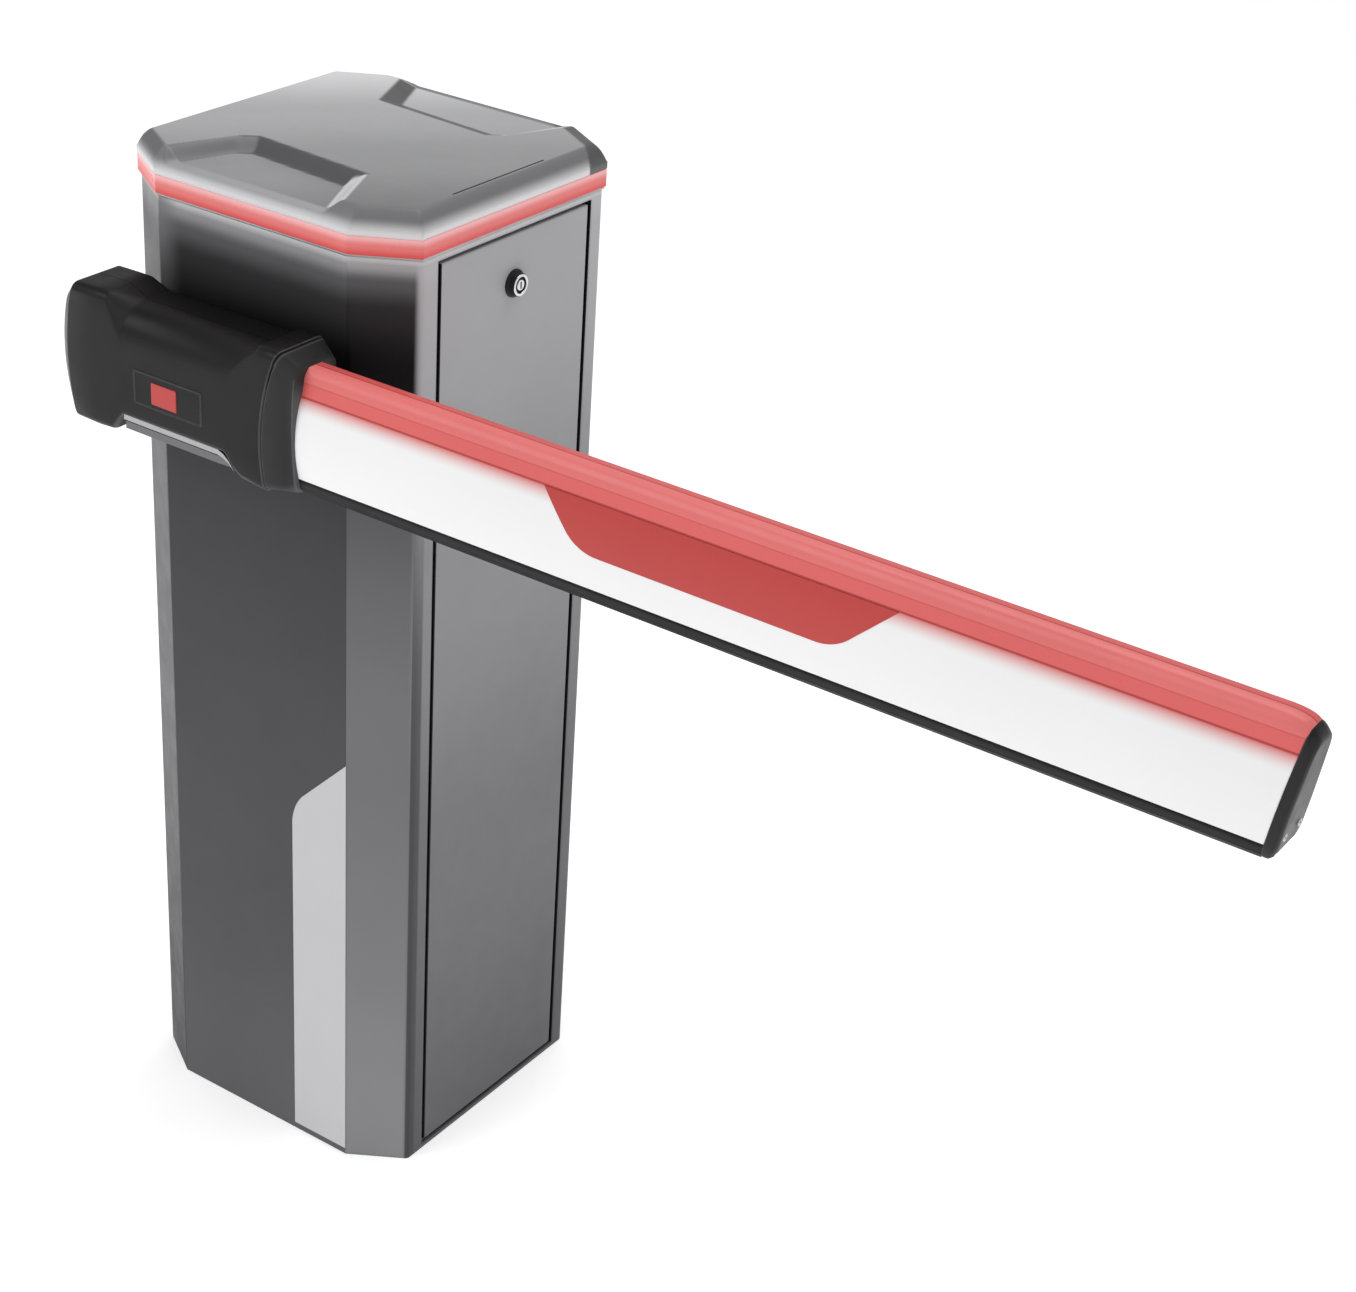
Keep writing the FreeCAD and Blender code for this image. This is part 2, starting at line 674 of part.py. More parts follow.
def arm_light():
    """Translucent channel along the arm's top edge, with the light strip inside it."""
    lens = Piece("arm_lens")
    half = [(arm_seam_left, arm_seam), (arm_seam_left + 3.5, arm_high - 7), (arm_seam_left + 9, arm_high)]
    lens.add("YZ", arm_start, arm_end + tip_spare, ("path", mirrored(half, arm_y)))
    lens.dress("Fillet", 3, lambda e: e.Length > 500 and e.CenterOfMass.z > plain(arm_high) - 8)
    hollow = rect(arm_y - 9, arm_y + 9, arm_seam - 1, arm_high - 5)
    lens.cut("YZ", arm_start - 1, arm_end + tip_spare + 1, hollow)
    cut_tip(lens, 0)

    strip = Piece("arm_light_strip")
    strip.add("YZ", arm_start + 2, arm_end - 2, rect(arm_y - 7, arm_y + 7, arm_seam, arm_seam + 2))
    lamps = [rect(x, x + 5, arm_y - 2.5, arm_y + 2.5) for x in range(100, 1060, 60)]
    strip.add("XY", arm_seam + 2, arm_seam + 3.5, *lamps)


def arm_bumper():
    """Hollow rubber edge under the arm."""
    edge = Piece("arm_bumper")
    half = [(arm_low_left + 6, bumper_low), (arm_low_left + 1.5, bumper_low + 5), (arm_low_left, arm_low)]
    edge.add("YZ", arm_start, arm_end + tip_spare, ("path", mirrored(half, arm_y)))
    hollow = rect(arm_y - 14, arm_y + 14, bumper_low + 4, arm_low - 3)
    edge.cut("YZ", arm_start - 1, arm_end + tip_spare + 1, hollow)
    cut_tip(edge, 0)


def arm_end_cap():
    """Plate over the arm's leaning end, flush with its outline, with two sunk screws near its foot."""
    foot = foot_half + cap_proud
    seam = seam_half + cap_proud
    low = bumper_low - cap_proud
    high = arm_high + cap_proud
    outline = path((arm_y - foot, arm_low, face_bow), (arm_y - foot + 1.5, low + 5), (arm_y - foot + 6, low),
                   (arm_y + foot - 6, low), (arm_y + foot - 1.5, low + 5), (arm_y + foot, arm_low),
                   (arm_y + seam, arm_seam, face_bow), (arm_y + seam - 3.5, high - 7), (arm_y + seam - 9, high),
                   (arm_y - seam + 9, high), (arm_y - seam + 3.5, high - 7), (arm_y - seam, arm_seam))
    blank_end = arm_end + 50
    seat = arm_end + 9.5
    cap = Piece("arm_end_cap")
    cap.add("YZ", arm_end - 10, blank_end, outline)
    cut_tip(cap, 0, -1)
    cut_tip(cap, cap_thick)
    cap.dress("Fillet", 9, lambda e: e.CenterOfMass.z < plain(low) + 0.1
              and e.CenterOfMass.x > plain(arm_end + cap_thick) - 1)
    screws("end_cap_screws", plain(cap_screw_r), 14, 3.6, 1.6, [(seat, y, z) for y, z in port_spots], (-1, 0, 0))
    cap.cut("YZ", arm_end - 11, blank_end, *[ring(y, z, cap_screw_r) for y, z in port_spots])
    cap.cut("YZ", seat, blank_end, *[ring(y, z, cap_sink_r) for y, z in port_spots])


def arm_decal():
    """Thin red film on the arm's front face, hanging from the seam like a shallow tray."""
    film = Piece("arm_decal")
    film.add("YZ", decal_start, decal_end,
             path((arm_low_left - film_thick, arm_low, face_bow), (arm_low_left, arm_low),
                  (arm_seam_left, arm_seam, -face_bow), (arm_seam_left - film_thick, arm_seam)))
    tray = path((decal_start + 3, arm_seam + 1), (decal_start + 33, decal_low + 15),
                (decal_start + 66, decal_low + 1, 46), (decal_end - 77, decal_low),
                (decal_end - 42, decal_low + 14, 46), (decal_end - 4, arm_seam + 1))
    around = rect(decal_start - 10, decal_end + 10, arm_low - 10, arm_seam + 10)
    film.cut("XZ", arm_y - 40, arm_y, around, tray)


# ---------------------------------------------------------------- arm hub

def half_section(side, top, low, tuck=0.0):
    """Half of the hub's section: from its mid plane out to the front (side -1) or back (side 1)."""
    face = hub_front + tuck if side < 0 else hub_back - tuck
    bevel = side * 13
    middle = arm_y
    return path((middle, low), (face - bevel, low), (face, low + 16), (face, top - 12),
                (face - bevel, top), (middle, top))


def hub_shell(node, side):
    """Half of the hub's bone-shaped plastic cover: full-height ends and a waist between them."""
    cover = Piece(node)
    places = [(hub_left, hub_top - 12, hub_low + 12, 10), (hub_left + 14, hub_top, hub_low, 0),
              (-99, hub_top, hub_low, 0), (-80, waist_top, waist_low, 0), (34, waist_top, waist_low, 0),
              (60, waist_top, hub_low + 9, 0), (82, hub_top - 4, hub_low, 0), (hub_right, hub_top - 2, hub_low, 0)]
    sections = [(x, half_section(side, top, low, tuck)) for x, top, low, tuck in places]
    cover.loft("YZ", sections)
    deep_front = arm_y if side > 0 else hub_front + hub_wall
    deep_back = hub_back - hub_wall if side > 0 else arm_y
    room = path((deep_front, waist_low + hub_wall), (deep_back, waist_low + hub_wall),
                (deep_back, waist_top - hub_wall - 9), (deep_front, waist_top - hub_wall - 9))
    cover.cut("YZ", hub_left + 20, hub_right + 1, room)
    mouth = path((deep_front, bumper_low - 1), (deep_back, bumper_low - 1),
                 (deep_back, arm_high + 1), (deep_front, arm_high + 1))
    cover.cut("YZ", arm_start - 18, hub_right + 1, mouth)
    return cover


def hub_covers():
    front = hub_shell("hub_cover_front", -1)
    front.cut("XZ", hub_front - 1, hub_front + 2, badge_outline(0))
    back = hub_shell("hub_cover_rear", 1)
    back.cut("XZ", hub_back - hub_wall - 1, hub_back + 1, ring(axis_x, axis_z, shaft_r + 1))

    badge = Piece("hub_badge_plate")
    badge.add("XZ", hub_front + 0.6, hub_front + 2, badge_outline(0.5))
    mark = Piece("hub_badge_mark")
    mark.add("XZ", hub_front - 0.4, hub_front + 0.6,
             rect(badge_left + 23, badge_left + 55, badge_low + 5, badge_low + 25))

    trim = Piece("hub_trim")
    half_trim = 26
    trim.add("YZ", -79, 34, path((arm_y - half_trim, waist_low - 12), (arm_y - half_trim + 11, waist_low - 17),
                                 (arm_y + half_trim, waist_low - 17), (arm_y + half_trim, waist_low),
                                 (arm_y - half_trim, waist_low)))


def badge_outline(inset):
    """The outline of the badge recess, moved in by a distance."""
    return rect(badge_left + inset, badge_right - inset, badge_low + inset, badge_high - inset)


def hub_collar():
    """Ring that closes the hub round the arm."""
    collar = Piece("hub_collar")
    wide = half_section(-1, hub_top - 2, hub_low)
    narrow = half_section(-1, hub_top - 12, hub_low + 8)
    back_wide = half_section(1, hub_top - 2, hub_low)
    back_narrow = half_section(1, hub_top - 12, hub_low + 8)
    ends = [(hub_right, closed_section(wide, back_wide)), (collar_end, closed_section(narrow, back_narrow))]
    collar.loft("YZ", ends)
    arm_hole = [(arm_low_left + 5.5, bumper_low - 0.5), (arm_low_left - 2, bumper_low + 5),
                (arm_low_left - 3, arm_low + 42), (arm_seam_left - 3, arm_seam - 8),
                (arm_seam_left + 2.5, arm_high - 6.5), (arm_seam_left + 8, arm_high + 0.5)]
    collar.cut("YZ", hub_right - 1, collar_end + 1, ("path", mirrored(arm_hole, arm_y)))


def closed_section(front, back):
    """Both halves of a hub section as one outline, without the mid-plane points."""
    return ("path", front[1][1:-1] + list(reversed(back[1][1:-1])))


def arm_bracket():
    """Steel clamp: a plate on the shaft's flange and a spigot that fills the arm's hollow end."""
    half_plate = 38
    half_pitch = 22
    bracket = Piece("arm_bracket")
    bracket.add("XZ", arm_y - 2, arm_y + 8, rect(-80, 66, axis_z - half_plate, axis_z + half_plate))
    bracket.add("XZ", arm_y - 10, arm_y + 10, rect(58, 200, arm_low + arm_wall + 0.4, arm_seam - arm_wall - 0.4))
    seats = [(axis_x + sx * half_pitch, arm_y - 2, axis_z + sz * half_pitch) for sx in (-1, 1) for sz in (-1, 1)]
    bracket.cut("XZ", arm_y - 11, arm_y + 9, *[ring(x, z, 4) for x, _, z in seats])
    screws("arm_clamp_bolts", 4, 20, 6.5, 5, seats, (0, 1, 0))
    return seats


# ---------------------------------------------------------------- drive

def on_circle(centre_x, centre_z, radius, angle):
    """A point on a circle in the upright plane along the arm."""
    turn = math.radians(angle)
    return centre_x + radius * math.cos(turn), centre_z + radius * math.sin(turn)


def drive_shaft(seats):
    """Main shaft: a round bar with a flange for the arm's bracket and two keyed lever seats."""
    shaft = Piece("drive_shaft")
    flange_low = arm_y + 8
    shaft.add("XZ", flange_low, flange_low + 10, ring(axis_x, axis_z, shaft_r * 2))
    shaft.add("XZ", flange_low + 10, shaft_rear, ring(axis_x, axis_z, shaft_r))
    shaft.cut("XZ", flange_low - 1, flange_low + 11, *[ring(x, z, 4) for x, _, z in seats])

    grip = Piece("shaft_seal")
    grip.add("XZ", front_face - 5, front_face, ring(axis_x, axis_z, shaft_hole_r + 8),
             ring(axis_x, axis_z, shaft_r + 0.6))


def bar_between(first, second, half_width):
    """A straight bar outline from one centre to another in the lever plane."""
    run_x = plain(second[0]) - plain(first[0])
    run_z = plain(second[1]) - plain(first[1])
    length = math.hypot(run_x, run_z)
    off_x = -run_z / length * half_width
    off_z = run_x / length * half_width
    return path((first[0] - off_x, first[1] - off_z), (second[0] - off_x, second[1] - off_z),
                (second[0] + off_x, second[1] + off_z), (first[0] + off_x, first[1] + off_z))


def lever(node, middle_y, centre, bore_r, boss_r, tip, eye_r):
    """A flat lever with a boss at its shaft and an eye at its pin. No bore leaves the boss solid."""
    arm = Piece(node)
    low = middle_y - lever_thick / 2
    high = middle_y + lever_thick / 2
    arm.add("XZ", low, high, ring(centre[0], centre[1], boss_r))
    arm.add("XZ", low, high, bar_between(centre, tip, plain(eye_r)))
    arm.add("XZ", low, high, ring(tip[0], tip[1], eye_r))
    arm.add("XZ", low - 6, high + 6, ring(centre[0], centre[1], boss_r - 4))
    if bore_r:
        arm.cut("XZ", low - 7, high + 7, ring(centre[0], centre[1], bore_r))
    return arm


spring_pin = on_circle(axis_x, axis_z, spring_arm, SPRING_ANGLE)
crank_pin = on_circle(axis_x, axis_z, crank_arm, CRANK_ANGLE)
gear_pin = on_circle(gear_x, gear_z, crank_arm, CRANK_ANGLE)
spring_plug_r = spring_mean_r - spring_wire_r - 0.5
plug_length = 24    # of the threaded plugs that hold the spring's ends


def levers_and_rods():
    """The spring lever and crank lever on the shaft, the gear's crank, and the links between them."""
    axis = (axis_x, axis_z)
    lever("spring_lever", spring_y, axis, shaft_r, shaft_r + 14, spring_pin, 16)
    lever("crank_lever", crank_y, axis, shaft_r, shaft_r + 10, crank_pin, 15)
    crank = lever("gear_crank", crank_y, (gear_x, gear_z), 0, 26, gear_pin, 15)
    crank.add("XZ", crank_y, frame_rear + frame_thick + 58, ring(gear_x, gear_z, 11))

    spring_face = spring_y - lever_thick / 2
    crank_face = crank_y - lever_thick / 2
    pins = Piece("lever_pins")
    pins.add("XZ", spring_face - 22, spring_face, ring(*spring_pin, pin_r))
    pins.add("XZ", spring_face - 25, spring_face - 22, ring(*spring_pin, pin_r + 3))
    pins.add("XZ", crank_face - 22, crank_face, ring(*crank_pin, pin_r - 0.5))
    crank.add("XZ", crank_face - 22, crank_face, ring(*gear_pin, pin_r))
    crank.add("XZ", crank_face - 25, crank_face - 22, ring(*gear_pin, pin_r + 3))

    link_high = crank_y - lever_thick / 2 - 3
    link_low = link_high - 12
    link = Piece("connecting_rod")
    link.add("XZ", link_low, link_high, ring(*crank_pin, 15))
    link.add("XZ", link_low, link_high, bar_between(crank_pin, gear_pin, 9))
    link.add("XZ", link_low, link_high, ring(*gear_pin, 15))
    link.cut("XZ", link_low - 1, link_high + 1, ring(*gear_pin, pin_r + run_fit), ring(*crank_pin, pin_r))

    tie_high = spring_y - lever_thick / 2 - 3
    tie_low = tie_high - 14
    tie = Piece("spring_tie_rod")
    tie.add("XZ", tie_low, tie_high, ring(*spring_pin, 15))
    tie.cut("XZ", tie_low - 1, tie_high + 1, ring(*spring_pin, pin_r + run_fit))
    line_y = tie_low + 7
    tie.add("XY", spring_top - plug_length, spring_pin[1] - 13, ring(spring_pin[0], line_y, 6))
    tie.add("XY", spring_top - plug_length, spring_top, ring(spring_pin[0], line_y, spring_plug_r))
    return line_y


def balance_spring(line_y):
    """Extension spring that carries the arm's weight, between the tie rod and the floor anchor."""
    free = plain(spring_top - spring_foot)
    pitch = free / plain(spring_turns)
    helix = Part.makeHelix(pitch, free, plain(spring_mean_r))
    start = FreeCAD.Vector(plain(spring_mean_r), 0, 0)
    way = FreeCAD.Vector(0, 2 * math.pi * plain(spring_mean_r), pitch)
    section = Part.Wire(Part.makeCircle(plain(spring_wire_r), start, way))
    coil = helix.makePipeShell([section], True, True)
    solid = coil if coil.ShapeType == "Solid" else Part.makeSolid(coil)
    spring = shaped("balance_spring", solid)
    spring.Placement.Base = FreeCAD.Vector(spring_pin[0].value, plain(line_y), plain(spring_foot))

    screw = Piece("spring_tension_screw")
    centre = (spring_pin[0], line_y)
    screw.add("XY", 70, spring_foot + plug_length, ring(*centre, 7))
    screw.add("XY", spring_foot, spring_foot + plug_length, ring(*centre, spring_plug_r))
    nuts = Piece("spring_tension_nuts")
    nuts.add("XY", 92, 102, hexagon(*centre, 14), ring(*centre, 7))
    nuts.add("XY", 104, 112, hexagon(*centre, 14), ring(*centre, 7))
    anchor = Piece("spring_anchor")
    left = spring_pin[0] - 28
    right = spring_pin[0] + 28
    anchor.add("XZ", line_y - 30, line_y + 30, rect(left, right, base_thick, 92))
    anchor.cut("XZ", line_y - 31, line_y + 31, rect(left + 6, right - 6, base_thick + 6, 84))
    anchor.cut("XY", 80, 93, ring(*centre, 7.2))


sensor_r = 6
sensor_spots = [(36, 890), (36, 945)]


def drive_frame():
    """Folded steel carrier inside the head: front plate on the cabinet wall, rear plate, and a floor."""
    frame = Piece("drive_frame")
    front_low = front_face + wall
    rear_high = frame_rear + frame_thick
    left = -112
    right = 112
    window = rect(-45, 105, frame_low + 100, 835)
    frame.add("XZ", front_low, front_low + frame_thick, rect(left, right, frame_low, frame_high), window)
    frame.add("XZ", frame_rear, rear_high, rect(left, right, frame_low, frame_high))
    opening = rect(left + 12, 5, -115, -15)
    frame.add("XY", frame_low, frame_low + frame_thick, rect(left, right, front_low, rear_high), opening)
    frame.cut("XZ", front_low - 1, front_low + frame_thick + 1, ring(axis_x, axis_z, shaft_r + 3))
    frame.cut("XZ", frame_rear - 1, rear_high + 1,
              ring(axis_x, axis_z, shaft_r + 3), ring(gear_x, gear_z, 16))
    frame.add("XZ", -4, 0, rect(20, 80, 870, 960))
    frame.add("XZ", 0, frame_rear, rect(66, 80, 930, 934))
    frame.cut("XZ", -5, 1, *[ring(x, z, sensor_r) for x, z in sensor_spots])
    spots = [(x, z) for x in (-95, 98) for z in (650, 960)]
    seat = front_low + frame_thick
    bolts = Piece("drive_frame_bolts")
    bolts.add("XZ", seat, seat + 8, *[hexagon(x, z, 10) for x, z in spots])
    return bolts


def bearings(bolts):
    """A square flange bearing on the inner side of each frame plate, held by four screws."""
    front_seat = front_face + wall + frame_thick
    barrel = 24
    foot = 10
    corners = [(axis_x + sx * 33, axis_z + sz * 33) for sx in (-1, 1) for sz in (-1, 1)]
    housing = Piece("shaft_bearings")
    flange = rect(axis_x - 43, axis_x + 43, axis_z - 43, axis_z + 43)
    for foot_low, low in ((front_seat, front_seat), (frame_rear - foot, frame_rear - barrel)):
        housing.add("XZ", foot_low, foot_low + foot, flange)
        housing.add("XZ", low, low + barrel, ring(axis_x, axis_z, 34))
        housing.cut("XZ", low - 1, low + barrel + 1, ring(axis_x, axis_z, shaft_r + run_fit))
        housing.cut("XZ", foot_low - 1, foot_low + foot + 1, *[ring(x, z, 4) for x, z in corners])
    bolts.add("XZ", front_seat, front_seat + foot, *[ring(x, z, 4) for x, z in corners])
    bolts.add("XZ", front_seat + foot, front_seat + foot + 5, *[hexagon(x, z, 7.5) for x, z in corners])
    bolts.add("XZ", frame_rear - foot, frame_rear, *[ring(x, z, 4) for x, z in corners])
    bolts.add("XZ", frame_rear - foot - 5, frame_rear - foot, *[hexagon(x, z, 7.5) for x, z in corners])


def gearmotor():
    """Worm gearbox behind the rear plate, its motor standing on it, output shaft through the plate."""
    low = frame_rear + frame_thick
    box = Piece("gearbox_housing")
    box.add("XZ", low, low + 88, rect(gear_x - 62, gear_x + 62, gear_z - 55, gear_z + 60))
    box.dress("Fillet", 12, along_y(longer=80))
    box.cut("XZ", low - 1, low + 60, ring(gear_x, gear_z, 11 + run_fit))

    can = Piece("motor_can")
    middle_y = low + 44
    can.add("XY", gear_z + 60, gear_z + 195, ring(gear_x, middle_y, 40))
    can.add("XY", gear_z + 60, gear_z + 68, rect(gear_x - 43, gear_x + 43, middle_y - 43, middle_y + 43))
    fins = [ring(gear_x, middle_y, 42.5), ring(gear_x, middle_y, 39)]
    for step in range(7):
        can.add("XY", gear_z + 84 + step * 12, gear_z + 88 + step * 12, *fins)
    can.dress("Fillet", 4, lambda e: e.CenterOfMass.z > plain(gear_z) + 194.9)

    plug = Piece("release_lever")
    face = gear_x + 62
    plug.add("YZ", face + 0.4, face + 10, ring(middle_y, gear_z + 20, 11))
    plug.add("YZ", face + 10, face + 16, rect(middle_y - 9, middle_y + 9, gear_z - 22, gear_z + 20),
             ring(middle_y, gear_z - 12, 4))
    plug.add("YZ", face + 10, face + 16, ring(middle_y, gear_z + 20, 13))


# ---------------------------------------------------------------- controls

def controls():
    """Control box on an upright plate facing the door, with its cover, board and supply."""
    plate_x = -10
    mount = Piece("equipment_plate")
    mount.add("YZ", plate_x - 2, plate_x, rect(-10, 160, 232, 590))
    mount.add("XZ", 158, 160, rect(plate_x - 32, plate_x - 2, 232, 590))
    mount.add("XZ", 160, inner_y, *[rect(plate_x - 32, plate_x - 22, z, z + 20) for z in (240, 560)])

    gland_spots = [(plate_x + 32, y) for y in (35, 75, 115)]
    box = Piece("control_box")
    box.add("YZ", plate_x, plate_x + 58, rect(0, 150, 330, 580))
    box.cut("YZ", plate_x + 3, plate_x + 59, rect(3, 147, 333, 577))
    box.cut("XY", 329, 334, *[ring(x, y, 10) for x, y in gland_spots])
    cover = Piece("control_box_cover")
    cover.add("YZ", plate_x + 58, plate_x + 74, rect(-1, 151, 329, 581))
    cover.cut("YZ", plate_x + 57, plate_x + 71, rect(2, 148, 332, 578))
    cover.dress("Fillet", 4, lambda e: e.CenterOfMass.x > plate_x + 73.9 and e.Length > 100)
    board = Piece("control_board")
    board.add("YZ", plate_x + 12, plate_x + 14, rect(10, 140, 400, 570))
    board.add("YZ", plate_x + 3, plate_x + 12, *[ring(y, z, 4) for y in (18, 132) for z in (410, 560)])
    chips = [rect(20, 60, 500, 530), rect(75, 95, 480, 540), rect(25, 55, 430, 460), rect(108, 128, 440, 470)]
    board.add("YZ", plate_x + 14, plate_x + 30, *chips)
    supply = Piece("power_supply")
    supply.add("YZ", plate_x + 3, plate_x + 45, rect(15, 85, 340, 392))
    terminals = Piece("terminal_block")
    terminals.add("YZ", plate_x, plate_x + 30, rect(20, 130, 262, 300))
    slots = [rect(y, y + 6, 268, 276) for y in range(25, 125, 10)]
    terminals.cut("YZ", plate_x + 20, plate_x + 31, *slots)
    glands = Piece("cable_glands")
    glands.add("XY", 314, 336, *[ring(x, y, 9.8) for x, y in gland_spots])
    glands.add("XY", 318, 330, *[hexagon(x, y, 14) for x, y in gland_spots])
    glands.cut("XY", 313, 337, *[ring(x, y, 5) for x, y in gland_spots])


def limit_switches():
    """Proximity sensors on the rear plate that read a flag clamped on the shaft."""
    flag = Piece("sensor_flag")
    flag.add("XZ", -24, -16, ring(axis_x, axis_z, 30), ring(axis_x, axis_z, shaft_r))
    flag.add("XZ", -24, -16, rect(axis_x + 27, axis_x + 48, axis_z - 8, axis_z + 8))
    sensors = Piece("limit_sensors")
    sensors.add("XZ", -13, 14, *[ring(x, z, sensor_r) for x, z in sensor_spots])


# ---------------------------------------------------------------- build, check and write

cabinet_shell()
front_panel()
front_stripe()
base_plate()
entry_seal()
door_jamb()
door_seal()
door_panel()
door_stiffeners()
lock_parts()
crown()
lid()
arm_profile()
arm_light()
arm_bumper()
arm_end_cap()
arm_decal()
hub_covers()
hub_collar()
drive_shaft(arm_bracket())
spring_line_y = levers_and_rods()
balance_spring(spring_line_y)
bearings(drive_frame())
gearmotor()
controls()
limit_switches()

doc.recompute()
for thing in doc.Objects:
    if "Invalid" in thing.State or "Error" in thing.State:
        raise RuntimeError("%s failed to build" % thing.Name)

os.makedirs("parts", exist_ok=True)
for piece in pieces:
    if piece.Shape.isNull() or not piece.Shape.isValid():
        raise RuntimeError("%s has no valid shape" % piece.Label)
    piece.Shape.exportStep("parts/%s.step" % piece.Label)
    print("%-24s solids %d  volume %.1f cm3" % (piece.Label, len(piece.Shape.Solids), piece.Shape.Volume / 1000))
print(len(pieces), "sub-parts")
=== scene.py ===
import math
import bmesh
import bpy
from mathutils import Matrix, Vector


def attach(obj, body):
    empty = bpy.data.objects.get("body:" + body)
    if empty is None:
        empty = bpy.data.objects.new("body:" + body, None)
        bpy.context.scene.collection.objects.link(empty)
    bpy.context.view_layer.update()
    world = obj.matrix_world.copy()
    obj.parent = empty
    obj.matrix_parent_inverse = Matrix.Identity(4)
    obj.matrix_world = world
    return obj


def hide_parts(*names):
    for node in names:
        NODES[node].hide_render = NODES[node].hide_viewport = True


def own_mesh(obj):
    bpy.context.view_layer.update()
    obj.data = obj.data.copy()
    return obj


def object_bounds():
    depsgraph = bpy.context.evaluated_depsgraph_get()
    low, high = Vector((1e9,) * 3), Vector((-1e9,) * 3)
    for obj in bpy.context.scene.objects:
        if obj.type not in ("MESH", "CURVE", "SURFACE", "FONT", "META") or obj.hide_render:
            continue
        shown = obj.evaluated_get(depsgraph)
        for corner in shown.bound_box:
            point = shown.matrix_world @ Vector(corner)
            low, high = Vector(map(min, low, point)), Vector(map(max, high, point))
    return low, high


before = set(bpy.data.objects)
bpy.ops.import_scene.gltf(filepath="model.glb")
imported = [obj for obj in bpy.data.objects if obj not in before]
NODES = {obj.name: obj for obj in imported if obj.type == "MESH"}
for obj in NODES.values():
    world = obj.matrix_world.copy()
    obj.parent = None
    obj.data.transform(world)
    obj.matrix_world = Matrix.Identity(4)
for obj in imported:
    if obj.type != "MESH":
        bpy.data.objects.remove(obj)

# Parking barrier gate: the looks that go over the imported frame. Metres, in the model's frame:
# +Z up, +X along the closed arm and out of the door, the arm in front of the -Y face.

START_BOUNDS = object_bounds()
MM = 0.001


# ---------------------------------------------------------------- sizes, in millimetres

CHAMFER_X, CHAMFER_Y = 58, 36
LENS_LOW, LENS_TOP = 1037, 1055
LID_HALF = 177.5
LID_EDGE_TOP = 1062
LID_TOP = 1080
SCOOP_FLOOR = 1067
FAR_SCOOP_FLOOR = 1074.5
ARM_Y = -233
BUMPER_LOW = 829
ARM_FOOT = 844
ARM_TOP = 923
ARM_LENS_TOP = 950
ARM_START, ARM_END = 74, 1080     # the end is given at the bumper's foot
ARM_LEAN = 0.14
CAP_THICK = 11
CAP_SCREW_Y, CAP_SCREW_Z = 14, 851
HUB_FRONT = -266
HUB_BACK = -198.5
HUB_MIDDLE = (-231, 893)          # y and z of the line that the hub is drawn round
BADGE = (-67, 20, 865, 900)       # left, right, bottom and top of the badge plate
MARK = (-44, -12, 870, 892)       # the same of the square on it
LOCK_Z = 975
DOOR_EDGES = (-111, 116)
DOOR_LOW, DOOR_TOP = 10, 1024
DOOR_GAP = 4


# ---------------------------------------------------------------- materials

def srgb(red, green, blue):
    """A display colour, 0 to 255, as the linear colour that the shader takes."""
    def linear(value):
        share = value / 255
        return share / 12.92 if share <= 0.04045 else ((share + 0.055) / 1.055) ** 2.4
    return (linear(red), linear(green), linear(blue), 1.0)


def grey(value):
    """A faintly cool grey."""
    return srgb(value, value, value + 1.5)


def tint(colour, share):
    return tuple(min(1.0, channel * share) for channel in colour[:3]) + (1.0,)


